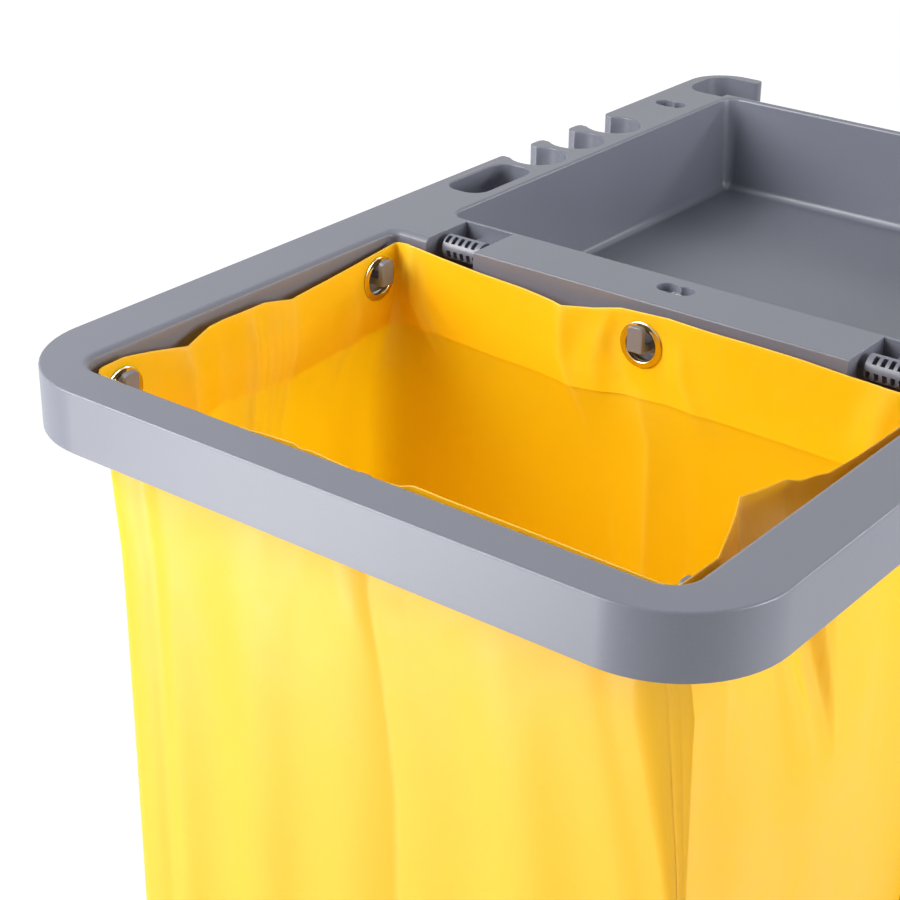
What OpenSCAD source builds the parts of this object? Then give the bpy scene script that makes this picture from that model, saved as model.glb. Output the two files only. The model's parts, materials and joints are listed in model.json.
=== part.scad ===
// Janitor cart: a moulded top with a bag loop and a tool tray, on four posts over a wheeled deck.
// Millimetres. X runs from the bag end to the bucket end, Y to the left, Z up from the floor.

/* [Overall] */
// Length from the bag end of the top to the front of the deck
cart_length = 1140; // [1120:1:1200]
// Width across the top moulding
cart_width = 510; // [500:1:540]
// Height of the rails' top above the floor
cart_height = 980; // [940:1:1040]

/* [Top moulding] */
// Thickness of the moulded walls
wall = 4; // [3:0.5:5]
// Height of the rails' faces
rail_h = 40; // [34:1:50]
// Width of the rail across the bag end
end_rail_w = 32; // [26:1:44]
// Width of the rails beside the bag
side_rail_w = 42; // [36:1:48]
// Length of the bag's opening
mouth_l = 298; // [270:1:320]
// Width of the bar between the bag and the tray
cross_bar_w = 50; // [46:1:60]
// Length of the tray at its top
tray_l = 382; // [372:1:400]
// Width of the rails beside the tray
tray_rail_w = 52; // [50:1:56]
// Depth of the tray below the rails' top
tray_depth = 78; // [60:1:95]
// How far each tray wall leans in from its top to its floor
tray_draft = 6; // [3:0.5:9]
// Radius of the tray's upright corners at the top
tray_corner_r = 13; // [10:1:24]
// Radius of the loop's two outer corners
loop_corner_r = 70; // [60:1:84]
// Radius of the opening's corners at the bag end
mouth_near_r = 18; // [16:1:40]
// Radius of the opening's corners at the cross-bar
mouth_far_r = 6; // [3:0.5:8]

/* [Tool holders] */
// Distance from the tray's near edge to the closed slot
slot_setback = 46; // [40:1:50]
// Length of the closed slot
slot_l = 73; // [66:1:76]
// Width of the closed slot
slot_w = 33; // [28:1:35]
// Radius of the slot's ends
slot_r = 13; // [8:1:13.5]
// Inner radius of an open tool clip
clip_r = 22; // [19:0.5:22.5]
// Width of an open clip's mouth
clip_mouth = 34; // [26:1:36]
// Number of open clips on each side
clip_count = 3; // [2:1:3]
// Thickness of the finger between two clips
finger_t = 8; // [6:1:9]
// Reach of the front hook arms past the tray's front wall
arm_reach = 55; // [46:1:60]
// Thickness of a front hook arm
arm_t = 10; // [8:1:12]
// Radius round the outside of a front hook arm
arm_r = 35; // [26:1:40]
// Distance from the side of the cart to the tip of an arm
arm_tip_in = 47; // [44:1:60]

/* [Hinge pockets] */
// Distance from the loop's inner side face to a pocket
pocket_inset = 28.5; // [24:0.5:44]
// Width of a pocket
pocket_w = 41; // [38:1:44]
// Outer radius of a hinge barrel
barrel_r = 8.5; // [8:0.25:9.5]
// Radius of a hinge barrel's bore
barrel_bore_r = 5; // [4:0.25:5.5]
// Gap between a barrel and each side of its pocket
barrel_side_gap = 5; // [3:0.5:6]
// Number of windows in a barrel's upper row
window_count = 5; // [3:1:5]
// Width of a window along the barrel
window_w = 3.2; // [2.5:0.1:3.6]

/* [Bag] */
// Gap between the bag and the loop
bag_gap = 5; // [4:0.5:7]
// Thickness of the bag's wall solid
bag_t = 3; // [2:0.5:4]
// Distance of the bag's top edge below the rails' top
bag_drop = 8; // [5:1:12]
// How much tighter the bag's corners at the bag end are than the opening's
bag_corner_tighter = 10; // [8:1:13]
// Radius of the bag's corners at the cross-bar
bag_far_r = 5; // [4:0.5:6]
// Outer radius of an eyelet
eyelet_r = 16; // [14:0.5:17]
// Radius of the hole in an eyelet
eyelet_hole_r = 11; // [9:0.25:11.5]
// Thickness of an eyelet's flange and barrel
eyelet_t = 1; // [0.8:0.1:1.4]
// Distance of the eyelets' centres below the rails' top
eyelet_drop = 27; // [26:1:30]
// Width of a bag hook
hook_w = 12; // [9:0.5:12.5]
// Thickness of a hook's upright tongue
tongue_t = 4.5; // [3:0.5:6]
// Height of a hook's tongue
tongue_h = 18; // [16:1:24]
// Height of a hook's stem
stem_h = 6; // [4:0.5:7]

/* [Posts and shelf] */
// Size of a post along the cart
post_l = 50; // [40:1:56]
// Size of a post across the cart
post_w = 30; // [24:1:34]
// Corner radius of a post
post_r = 8; // [5:1:10]
// Wall thickness of a post
post_t = 3; // [2.5:0.5:4]
// Distance of the posts' tops below the rails' top
seat_depth = 12; // [11:1:18]
// Distance from the tray's front edge back to the front posts
front_post_setback = 50; // [44:1:60]
// Height of the shelf's floor above the ground
shelf_z = 540; // [450:5:650]
// Height of the shelf's side wall
shelf_wall_h = 40; // [34:1:60]
// How far the shelf runs past the posts
shelf_margin = 12; // [10:1:16]
// Width of the tie bar along the cart
tie_l = 32; // [26:1:36]
// Height of the tie bar
tie_h = 25; // [20:1:34]

/* [Deck] */
// Height of the deck's top above the ground
deck_z = 170; // [164:1:184]
// Depth of the deck's side wall
deck_h = 45; // [40:1:52]
// Thickness of the deck's walls
deck_t = 5; // [4:0.5:6]
// Height of the raised tail, which carries the bag, above the rear wheels
tail_clear = 5; // [3:1:15]
// Corner radius at the back of the tail
tail_r = 40; // [20:1:60]
// How far the deck stands out past the posts
deck_margin = 6; // [4:1:10]
// Corner radius at the front of the deck
deck_front_r = 60; // [40:1:80]
// Depth of the bucket platform's pan
pan_depth = 10; // [6:1:14]
// Width of the rim round the pan
pan_rim = 16; // [12:1:24]
// Height of the spigots that the posts stand over
spigot_h = 45; // [38:1:60]
// Height of the collars round the posts' feet
collar_h = 32; // [28:1:40]

/* [Rear wheels] */
// Radius of a rear wheel
wheel_r = 100; // [90:1:100]
// Width of a rear tyre
tyre_w = 38; // [32:1:40]
// Depth of a rear tyre from tread to rim
tyre_depth = 16; // [12:1:20]
// Length of a rear wheel's hub
hub_l = 42; // [40:1:46]
// Radius of a rear hub's boss
boss_r = 20; // [16:1:26]
// Radius of the rear axle
axle_r = 7; // [6:0.5:8]
// Length of the spacer between the deck and a hub
spacer_l = 17.5; // [14:0.5:24]
// Distance of the rear axle from the bag end
axle_setback = 175; // [150:1:185]
// Number of spokes in a rear wheel
spoke_count = 6; // [4:1:8]

/* [Casters] */
// Radius of a caster's wheel
caster_r = 50; // [46:1:50]
// Width of a caster's tread
tread_w = 30; // [26:1:33]
// Depth of a caster's tread
tread_depth = 8; // [5:1:10]
// Distance of the swivel axis from the front of the deck
caster_setback = 95; // [92:1:110]
// Distance of a swivel axis in from the side of the deck
caster_inset = 85; // [78:1:100]
// Distance from the swivel axis back to the caster's axle
trail = 35; // [28:1:38]
// Gap between the fork's legs
leg_gap = 38; // [36:1:42]
// Thickness of the fork's legs
leg_t = 4; // [3:0.5:5]
// Thickness of the fork's crown
crown_t = 5; // [4:0.5:7]
// Height of the ball race between the fork and the plate
race_h = 7.4; // [6:0.2:9]
// Thickness of a caster's plate
plate_t = 4; // [3:0.5:5]
// Radius of the king pin
king_r = 6; // [5:0.5:7]
// Radius of a caster's axle bolt
bolt_r = 5; // [4:0.5:6]

/* [Fits] */
// Radial running clearance of a wheel or a swivel on its pin
run_fit = 0.06; // [0.03:0.01:0.1]
// Clearance between pieces that are pushed or screwed together
push_fit = 0.15; // [0.1:0.05:0.3]
// Gap at the ends of a turning piece
end_gap = 0.3; // [0.2:0.1:0.6]
// Clearance between the shelf and the posts
slide_fit = 0.3; // [0.2:0.1:0.6]

/* [Hidden] */
$fn = 64;

grey = "slategray";
dark = "dimgray";
steel = "silver";
cut = 1;

// Places along the cart
back_x = -cart_length / 2;
front_x = cart_length / 2;
mouth_x0 = back_x + end_rail_w;
mouth_x1 = mouth_x0 + mouth_l;
tray_x0 = mouth_x1 + cross_bar_w;
tray_x1 = tray_x0 + tray_l;
tray_front_x = tray_x1 + wall;
arm_x = tray_front_x + arm_reach;

// Places across the cart
half_w = cart_width / 2;
mouth_y = half_w - side_rail_w;
tray_y = half_w - tray_rail_w;

// Tool holders
slot_wall = 9;
slot_x0 = tray_x0 + slot_setback;
slot_x1 = slot_x0 + slot_l;
slot_y1 = half_w - slot_wall;
slot_y0 = slot_y1 - slot_w;
clip_pitch = 2 * clip_r + finger_t;
clip_x0 = slot_x1 + finger_t + clip_r;
clip_y = half_w - clip_r;
tool_x0 = slot_x0 - finger_t;
tool_x1 = clip_x0 + (clip_count - 1) * clip_pitch + clip_r + finger_t;
arm_bulge = 8;
arm_hole_r = 18;

// Screws: a rail screw is sunk in a recess of three overlapping rounds
recess_r = 7.5;
recess_spread = 6;
recess_mid_r = 6.8;
recess_mid_in = 1.2;
recess_depth = 6;
screw_r = 2.5;
screw_head_r = 5;
screw_head_h = 3;
screw_bite = 14;
post_plug_h = 30;

// Posts
post_clear = 3;
rear_post_x = mouth_x1 + wall + post_clear + post_l / 2;
front_post_x = tray_x1 - front_post_setback;
post_y = half_w - tray_rail_w / 2;
post_top_z = cart_height - seat_depth;
collar_t = slide_fit + wall;
foot_screw_z = deck_z + collar_h / 2;
shelf_screw_z = shelf_z + shelf_wall_h / 2;

// Hinge barrels
barrel_setback = 20;
barrel_sink = 1;
barrel_x = mouth_x1 + barrel_setback;
barrel_z = cart_height - barrel_r - barrel_sink;
barrel_len = pocket_w - 2 * barrel_side_gap;
pocket_y = mouth_y - pocket_inset - pocket_w;
pocket_mid_y = pocket_y + pocket_w / 2;
window_pitch = barrel_len / (window_count + 0.5);
window_span = 6.5;
upper_window_turn = -32;
lower_window_turn = -112;

// Bag and hooks
bag_x0 = mouth_x0 + bag_gap;
bag_x1 = mouth_x1 - bag_gap;
bag_y = mouth_y - bag_gap;
bag_top_z = cart_height - bag_drop;
bag_near_r = mouth_near_r - bag_corner_tighter;
near_hook_x = bag_x0 + bag_near_r + eyelet_r;
far_hook_x = bag_x1 - bag_far_r - eyelet_r;
eyelet_z = cart_height - eyelet_drop;
stem_z = eyelet_z - stem_h / 2;
tongue_clear = 2.5;
tongue_round = 3.5;
hook_reach = bag_gap + bag_t + eyelet_t + tongue_clear + tongue_t;

// Tie bar, under the cross-bar and between the rear posts
tie_clear = 2;
tie_x = tray_x0 - wall - tie_clear - tie_l / 2 + tray_draft * rail_h / tray_depth;
tie_z1 = cart_height - rail_h;
tie_y = post_y - post_w / 2;
tie_screw_z = tie_z1 - tie_h / 2;

// Rear wheels, from the axle's end inwards
cap_t = 4.4;
cap_seat = 3;
cap_inset = 0.5;
hub_y1 = half_w - cap_inset - cap_t - end_gap;
hub_y0 = hub_y1 - hub_l;
tail_y = hub_y0 - end_gap - spacer_l;
hub_mid_y = (hub_y0 + hub_y1) / 2;
wheel_x = back_x + axle_setback;
bush_t = 3;
tyre_shoulder = 6;
rim_t = 6;
lug_t = 20;
lug_r = 26;

// Casters, from the ground up
caster_x = front_x - caster_setback;
crown_gap = 6;
crown_z0 = 2 * caster_r + crown_gap;
crown_z1 = crown_z0 + crown_t;
plate_z0 = crown_z1 + race_h;
plate_z1 = plate_z0 + plate_t;
crown_r = 34;
tread_shoulder = 2.5;
plate_l = 100;
plate_w = 72;
plate_screw_x = 40;
plate_screw_y = 26;
plate_screw_r = 3;
plate_head_r = 6;
plate_head_h = 3.5;
king_flange_r = 10;
king_flange_h = 4;
bolt_head_r = 8;
bolt_head_h = 5;
race_edge = 6;
race_r0 = king_r + race_edge;
race_r1 = crown_r - race_edge;

// Deck
deck_step = 22;
deck_x0 = rear_post_x - post_l / 2 - deck_step;
deck_y = post_y + post_w / 2 + deck_margin;
deck_bottom_z = deck_z - deck_h;
caster_y = deck_y - caster_inset;
tail_z = 2 * wheel_r + tail_clear;
tail_setback = 30;
tail_x0 = back_x + tail_setback;
platform_gap = 35;
platform_x0 = front_post_x + post_l / 2 + platform_gap;
pad_edge = 5;
pad_l = plate_l + 2 * pad_edge;
pad_w = plate_w + 2 * pad_edge;
pad_r = 8;
rib_t = 4;

module box2(x0, x1, y0, y1) {
  translate([x0, y0]) square([x1 - x0, y1 - y0]);
}

module round_box2(x0, x1, y0, y1, r) {
  box2(x0 + r, x1 - r, y0, y1);
  box2(x0, x1, y0 + r, y1 - r);
  for (x = [x0 + r, x1 - r]) for (y = [y0 + r, y1 - r]) translate([x, y]) circle(r);
}

module slab(z0, z1) {
  translate([0, 0, z0]) linear_extrude(z1 - z0) children();
}

module both_sides() {
  children();
  mirror([0, 1, 0]) children();
}

// A round bar along Y from y0 to y1
module bar_y(y0, y1, r) {
  translate([0, y0, 0]) rotate([-90, 0, 0]) cylinder(r = r, h = y1 - y0);
}

// A pan-head screw standing head up, its head's underside at z = 0
module screw(length, r = screw_r, head_r = screw_head_r, head_h = screw_head_h) {
  slot_w = head_r / 4;
  difference() {
    union() {
      cylinder(r1 = head_r, r2 = head_r * 0.75, h = head_h);
      translate([0, 0, -length]) cylinder(r = r, h = length + head_h / 2);
    }
    for (turn = [0, 90]) rotate(turn) translate([-head_r / 2, -slot_w / 2, head_h / 2])
      cube([head_r, slot_w, head_h]);
  }
}

// Outline of the top without its front arms, drawn in by inset
module loop_plan(inset) {
  y = half_w - loop_corner_r;
  box2(back_x + loop_corner_r, tray_front_x - inset, inset - half_w, half_w - inset);
  box2(back_x + inset, back_x + loop_corner_r + cut, -y, y);
  for (s = [-1, 1]) translate([back_x + loop_corner_r, s * y]) circle(loop_corner_r - inset);
}

// The bag's opening, enlarged by grow
module mouth_plan(grow) {
  near = mouth_near_r + grow;
  far = mouth_far_r + grow;
  x0 = mouth_x0 - grow;
  x1 = mouth_x1 + grow;
  y = mouth_y + grow;
  box2(x0 + near, x1 - far, -y, y);
  box2(x0, x0 + near + cut, near - y, y - near);
  box2(x1 - far - cut, x1, far - y, y - far);
  for (s = [-1, 1]) translate([x0 + near, s * (y - near)]) circle(near);
  for (s = [-1, 1]) translate([x1 - far, s * (y - far)]) circle(far);
}

module pocket_plan(grow) {
  box2(mouth_x1 - cut, tray_x0 - wall, pocket_y - grow, pocket_y + pocket_w + grow);
}

module clip_plan(x) {
  translate([x, clip_y]) circle(clip_r);
  box2(x - clip_mouth / 2, x + clip_mouth / 2, clip_y, half_w + cut);
}

module arm_plan() {
  corner = half_w - arm_r;
  tip_y = half_w - arm_tip_in;
  box2(tray_front_x - cut, arm_x - arm_r, corner, half_w);
  box2(tray_front_x - cut, arm_x, tip_y, corner);
  intersection() {
    translate([arm_x - arm_r, corner]) circle(arm_r);
    box2(tray_front_x, arm_x, corner - cut, half_w);
  }
}

module arm_hole_plan() {
  x1 = arm_x - arm_t;
  y1 = half_w - arm_t;
  x0 = tray_front_x - arm_bulge;
  r = arm_hole_r;
  tip_y = half_w - arm_tip_in;
  box2(x0 + r, x1 - r, tip_y - cut, y1);
  box2(x0, x1, tip_y - cut, y1 - r);
  for (x = [x0 + r, x1 - r]) translate([x, y1 - r]) circle(r);
}

module arm_tip_plan() {
  translate([arm_x - arm_t / 2, half_w - arm_tip_in]) circle(arm_t / 2);
}

module recess_plan() {
  for (s = [-1, 1]) translate([0, s * recess_spread]) circle(recess_r);
  translate([-recess_mid_in, 0]) circle(recess_mid_r);
}

module at_posts() {
  for (x = [rear_post_x, front_post_x]) for (s = [-1, 1]) translate([x, s * post_y, 0]) children();
}

module post_plan(grow) {
  l = post_l / 2 + grow;
  w = post_w / 2 + grow;
  round_box2(-l, l, -w, w, post_r + grow);
}

// The tray's drafted body: grow widens it, and it runs from z0 up to z1
module tray_body(grow, z0, z1) {
  slope = tray_draft / tray_depth;
  lean0 = grow - slope * (cart_height - z0);
  lean1 = grow - slope * (cart_height - z1);
  r = tray_corner_r;
  flat_x0 = tray_x0 + r;
  flat_x1 = tray_x1 - r;
  flat_y = tray_y - r;
  translate([0, flat_y, 0]) rotate([90, 0, 0]) linear_extrude(2 * flat_y) polygon([
    [tray_x0 - lean0, z0], [tray_x1 + lean0, z0], [tray_x1 + lean1, z1], [tray_x0 - lean1, z1]]);
  translate([flat_x0, 0, 0]) rotate([90, 0, 90]) linear_extrude(flat_x1 - flat_x0) polygon([
    [-tray_y - lean0, z0], [tray_y + lean0, z0], [tray_y + lean1, z1], [-tray_y - lean1, z1]]);
  for (x = [flat_x0, flat_x1]) for (s = [-1, 1])
    translate([x, s * flat_y, z0]) cylinder(r1 = r + lean0, r2 = r + lean1, h = z1 - z0);
}

// The rails as a thin-walled channel, open below
module rails() {
  z0 = cart_height - rail_h;
  difference() {
    slab(z0, cart_height) difference() {
      union() {
        loop_plan(0);
        both_sides() difference() {
          arm_plan();
          arm_hole_plan();
        }
        both_sides() arm_tip_plan();
      }
      mouth_plan(0);
      both_sides() {
        pocket_plan(0);
        round_box2(slot_x0, slot_x1, slot_y0, slot_y1, slot_r);
        for (i = [0 : clip_count - 1]) clip_plan(clip_x0 + i * clip_pitch);
        arm_hole_plan();
      }
    }
    slab(z0 - cut, cart_height - wall) difference() {
      loop_plan(wall);
      mouth_plan(wall);
      box2(tray_x0 - wall, tray_front_x + cut, -tray_y - wall, tray_y + wall);
      both_sides() {
        pocket_plan(wall);
        box2(tool_x0, tool_x1, tray_y, half_w);
        box2(tray_front_x - arm_bulge - wall, tray_front_x, tray_y, half_w);
      }
    }
  }
}

module top_moulding() {
  tray_z = cart_height - tray_depth;
  color(grey) difference() {
    union() {
      rails();
      tray_body(wall, tray_z - wall, cart_height - rail_h + wall);
      at_posts() slab(post_top_z, cart_height - wall / 2) post_plan(-push_fit);
      translate([tie_x, 0, 0]) slab(tie_z1, cart_height - wall / 2) circle(recess_r + recess_spread + wall);
    }
    tray_body(0, tray_z, cart_height + cut);
    for (s = [-1, 1]) translate([front_post_x, s * post_y, 0]) rail_screw_hole(post_top_z);
    translate([tie_x, 0, 0]) rail_screw_hole(tie_z1);
  }
}

// A screw's recess from the rail's top, and its hole down to z0
module rail_screw_hole(z0) {
  slab(cart_height - recess_depth, cart_height + cut) recess_plan();
  slab(z0 - cut, cart_height) circle(screw_r + push_fit);
}

module hinge_barrel() {
  web_t = 6;
  color(grey) difference() {
    translate([barrel_x, pocket_mid_y, barrel_z]) difference() {
      union() {
        bar_y(-barrel_len / 2, barrel_len / 2, barrel_r);
        translate([0, -barrel_len / 4, -web_t]) cube([tray_x0 - wall - barrel_x, barrel_len / 2, web_t]);
      }
      bar_y(-barrel_len / 2 - cut, barrel_len / 2 + cut, barrel_bore_r);
      for (i = [0 : window_count - 1]) {
        row_y = (i + 0.5 - window_count / 2) * window_pitch;
        barrel_window(row_y + window_pitch / 4, upper_window_turn);
        barrel_window(row_y - window_pitch / 4, lower_window_turn);
      }
    }
  }
}

// A window through one side of the barrel's wall, centred at y and turned about the axis
module barrel_window(y, turn) {
  translate([0, y, 0]) rotate([0, turn, 0])
    translate([-window_span / 2, -window_w / 2, 0]) cube([window_span, window_w, barrel_r + cut]);
}

module hinge_barrel_left() {
  hinge_barrel();
}

module hinge_barrel_right() {
  mirror([0, 1, 0]) hinge_barrel();
}

module cross_bar_screw() {
  color(steel) translate([tie_x, 0, cart_height - recess_depth]) screw(rail_h - recess_depth + screw_bite);
}

module front_rail_screws() {
  length = seat_depth - recess_depth + screw_bite;
  color(steel) for (s = [-1, 1])
    translate([front_post_x, s * post_y, cart_height - recess_depth]) screw(length);
}

// Places a child on the loop's inner face at each hook, facing into the opening along its own X
module at_hooks() {
  translate([mouth_x0, 0, 0]) children();
  translate([mouth_x1, 0, 0]) rotate(180) children();
  for (x = [near_hook_x, far_hook_x]) {
    translate([x, mouth_y, 0]) rotate(-90) children();
    translate([x, -mouth_y, 0]) rotate(90) children();
  }
}

module bag_hook() {
  half = hook_w / 2;
  round_z = tongue_h - tongue_round;
  translate([0, -half, stem_z]) cube([hook_reach, hook_w, stem_h]);
  translate([hook_reach - tongue_t, 0, stem_z]) {
    translate([0, -half, 0]) cube([tongue_t, hook_w, round_z]);
    translate([0, tongue_round - half, 0]) cube([tongue_t, hook_w - 2 * tongue_round, tongue_h]);
    for (s = [-1, 1]) translate([0, s * (half - tongue_round), round_z])
      rotate([0, 90, 0]) cylinder(r = tongue_round, h = tongue_t);
  }
}

module bag_hooks() {
  color(dark) at_hooks() bag_hook();
}

module bag_plan(inset) {
  near = bag_near_r - inset;
  far = bag_far_r - inset;
  x0 = bag_x0 + inset;
  x1 = bag_x1 - inset;
  y = bag_y - inset;
  box2(x0 + near, x1 - far, -y, y);
  box2(x0, x0 + near + cut, near - y, y - near);
  box2(x1 - far - cut, x1, far - y, y - far);
  for (s = [-1, 1]) translate([x0 + near, s * (y - near)]) circle(near);
  for (s = [-1, 1]) translate([x1 - far, s * (y - far)]) circle(far);
}

module waste_bag() {
  color("gold") difference() {
    slab(tail_z, bag_top_z) bag_plan(0);
    slab(tail_z + bag_t, bag_top_z + cut) bag_plan(bag_t);
    at_hooks() translate([bag_gap - cut, 0, eyelet_z]) rotate([0, 90, 0])
      cylinder(r = eyelet_hole_r + eyelet_t + push_fit, h = bag_t + 2 * cut);
  }
}

module bag_eyelets() {
  color(steel) at_hooks() translate([bag_gap - eyelet_t, 0, eyelet_z]) rotate([0, 90, 0]) difference() {
    union() {
      cylinder(r = eyelet_r, h = eyelet_t);
      cylinder(r = eyelet_hole_r + eyelet_t, h = bag_t + 2 * eyelet_t);
      translate([0, 0, bag_t + eyelet_t]) cylinder(r = eyelet_r, h = eyelet_t);
    }
    translate([0, 0, -cut]) cylinder(r = eyelet_hole_r, h = bag_t + 2 * eyelet_t + 2 * cut);
  }
}

module tie_bar() {
  color(dark) difference() {
    slab(tie_z1 - tie_h, tie_z1) box2(tie_x - tie_l / 2, tie_x + tie_l / 2, -tie_y, tie_y);
    slab(tie_z1 - tie_h - cut, tie_z1 - wall)
      box2(tie_x - tie_l / 2 + wall, tie_x + tie_l / 2 - wall, wall - tie_y, tie_y - wall);
    translate([tie_x, 0, tie_z1 - wall - cut]) cylinder(r = screw_r + push_fit, h = wall + 2 * cut);
    translate([tie_x, 0, tie_screw_z]) bar_y(-tie_y - cut, tie_y + cut, screw_r + push_fit);
  }
}

// Screws that run inwards along Y, their heads' undersides at y
module side_screws(x, y, z, length) {
  for (s = [-1, 1]) translate([x, s * y, z]) rotate([-90 * s, 0, 0]) screw(length);
}

module tie_bar_screws() {
  color(steel) side_screws(tie_x, tie_y + post_w, tie_screw_z, post_w + wall + screw_bite / 2);
}

module post(x, side) {
  color(grey) translate([x, side * post_y, 0]) difference() {
    slab(deck_z, post_top_z) post_plan(0);
    slab(deck_z - cut, post_top_z - post_plug_h) post_plan(-post_t);
    translate([0, 0, foot_screw_z]) bar_y(-post_w, post_w, screw_r + push_fit);
    translate([0, 0, shelf_screw_z]) bar_y(-post_w, post_w, screw_r + push_fit);
    if (x == front_post_x) slab(post_top_z - screw_bite - cut, post_top_z + cut) circle(screw_r + push_fit);
    if (x == rear_post_x) translate([tie_x - x, 0, tie_screw_z]) bar_y(-post_w, post_w, screw_r + push_fit);
  }
}

module post_rear_left() {
  post(rear_post_x, 1);
}

module post_rear_right() {
  post(rear_post_x, -1);
}

module post_front_left() {
  post(front_post_x, 1);
}

module post_front_right() {
  post(front_post_x, -1);
}

module post_foot_screws() {
  color(steel) for (x = [rear_post_x, front_post_x])
    side_screws(x, post_y + post_w / 2 + collar_t, foot_screw_z, collar_t + post_t + screw_bite);
}

module middle_shelf() {
  x0 = rear_post_x - post_l / 2 - shelf_margin;
  x1 = front_post_x + post_l / 2 + shelf_margin;
  y = post_y + post_w / 2 + collar_t;
  r = post_r + wall;
  color(grey) difference() {
    union() {
      slab(shelf_z - wall, shelf_z) round_box2(x0, x1, -y, y, r);
      slab(shelf_z - wall, shelf_z + shelf_wall_h) difference() {
        round_box2(x0, x1, -y, y, r);
        round_box2(x0 + wall, x1 - wall, wall - y, y - wall, post_r);
      }
      at_posts() slab(shelf_z - wall, shelf_z + shelf_wall_h) post_plan(collar_t);
    }
    at_posts() slab(shelf_z - wall - cut, shelf_z + shelf_wall_h + cut) post_plan(slide_fit);
    at_posts() translate([0, 0, shelf_screw_z]) bar_y(-post_w, post_w, screw_r + push_fit);
  }
}

module shelf_screws() {
  color(steel) for (x = [rear_post_x, front_post_x])
    side_screws(x, post_y + post_w / 2 + collar_t, shelf_screw_z, collar_t + post_t + screw_bite / 2);
}

module base_deck() {
  pad_z = plate_z1;
  color(grey) difference() {
    union() {
      difference() {
        slab(deck_bottom_z, deck_z) deck_plan(0);
        slab(deck_bottom_z - cut, deck_z - deck_t) intersection() {
          deck_plan(deck_t);
          box2(deck_x0, platform_x0, -half_w, half_w);
        }
        slab(deck_bottom_z - cut, deck_z - pan_depth - deck_t) deck_plan(deck_t);
        slab(deck_z - pan_depth, deck_z + cut) round_box2(platform_x0 + pan_rim, front_x - pan_rim,
          pan_rim - deck_y, deck_y - pan_rim, deck_front_r - pan_rim);
      }
      tail();
      at_posts() slab(deck_z - deck_t, deck_z + spigot_h) post_plan(-post_t - push_fit);
      at_posts() slab(deck_z - deck_t, deck_z + collar_h) difference() {
        post_plan(collar_t);
        post_plan(slide_fit);
      }
      for (s = [-1, 1]) translate([caster_x, s * caster_y, 0])
        slab(pad_z, deck_z - pan_depth - deck_t / 2)
          round_box2(-pad_l / 2, pad_l / 2, -pad_w / 2, pad_w / 2, pad_r);
      for (y = [-deck_y / 3, deck_y / 3]) slab(deck_bottom_z, deck_z - pan_depth - deck_t / 2)
        box2(deck_x0 + deck_t / 2, front_x - deck_t / 2, y - rib_t / 2, y + rib_t / 2);
    }
    at_posts() translate([0, 0, foot_screw_z]) bar_y(-post_w, post_w, screw_r + push_fit);
    for (s = [-1, 1]) translate([caster_x, s * caster_y, pad_z - cut]) {
      cylinder(r = king_flange_r + cut, h = king_flange_h + 2 * cut);
      at_plate_screws() cylinder(r = plate_screw_r + push_fit, h = screw_bite + 2 * cut);
    }
    translate([wheel_x, 0, wheel_r]) bar_y(-half_w, half_w, axle_r + push_fit / 2);
  }
}

module deck_plan(inset) {
  r = deck_front_r;
  x0 = deck_x0 + inset;
  x1 = front_x - inset;
  y = deck_y - inset;
  box2(x0, front_x - r, -y, y);
  box2(front_x - r - cut, x1, r - deck_y, deck_y - r);
  for (s = [-1, 1]) translate([front_x - r, s * (deck_y - r)]) circle(r - inset);
}

module tail_plan(inset) {
  r = tail_r;
  box2(tail_x0 + r, deck_x0 + deck_t - inset, inset - tail_y, tail_y - inset);
  box2(tail_x0 + inset, tail_x0 + r + cut, r - tail_y, tail_y - r);
  for (s = [-1, 1]) translate([tail_x0 + r, s * (tail_y - r)]) circle(r - inset);
}

// The raised tail under the bag, with a lug on each side for the axle
module tail() {
  difference() {
    slab(deck_bottom_z, tail_z) tail_plan(0);
    slab(deck_bottom_z - cut, tail_z - deck_t) tail_plan(deck_t);
  }
  both_sides() translate([wheel_x, 0, wheel_r]) {
    bar_y(tail_y - lug_t, tail_y, lug_r);
    translate([-lug_r, tail_y - lug_t, 0]) cube([2 * lug_r, lug_t, tail_z - wheel_r - deck_t / 2]);
  }
}

module at_plate_screws() {
  for (x = [-plate_screw_x, plate_screw_x]) for (y = [-plate_screw_y, plate_screw_y])
    translate([x, y, 0]) children();
}

// Places a child on the rear axle's line
module on_axle() {
  translate([wheel_x, 0, wheel_r]) children();
}

module rear_axle() {
  y = hub_y1 + end_gap + cap_seat - push_fit;
  color(steel) on_axle() bar_y(-y, y, axle_r);
}

module axle_spacer() {
  color(dark) on_axle() difference() {
    bar_y(tail_y, hub_y0 - end_gap, axle_r + 4);
    bar_y(tail_y - cut, hub_y0, axle_r + push_fit / 2);
  }
}

module axle_cap() {
  y0 = hub_y1 + end_gap;
  color(dark) on_axle() difference() {
    bar_y(y0, y0 + cap_t, boss_r - 4);
    bar_y(y0 - cut, y0 + cap_seat, axle_r + push_fit / 2);
  }
}

module rear_hub() {
  rim_r = wheel_r - tyre_depth - push_fit;
  web_t = 8;
  spoke_t = 5;
  spoke_l = rim_r - rim_t / 2 - boss_r / 2;
  spoke_w = 26;
  color(grey) on_axle() translate([0, hub_mid_y, 0]) difference() {
    union() {
      bar_y(-hub_l / 2, hub_l / 2, boss_r);
      difference() {
        bar_y(-tyre_w / 2, tyre_w / 2, rim_r);
        bar_y(-tyre_w / 2 - cut, tyre_w / 2 + cut, rim_r - rim_t);
      }
      bar_y(-web_t / 2, web_t / 2, rim_r - rim_t / 2);
      for (i = [0 : spoke_count - 1]) rotate([0, i * 360 / spoke_count, 0])
        translate([boss_r / 2, -spoke_w / 2, -spoke_t / 2]) cube([spoke_l, spoke_w, spoke_t]);
    }
    bar_y(-hub_l, hub_l, axle_r + run_fit + bush_t + push_fit / 2);
  }
}

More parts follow.
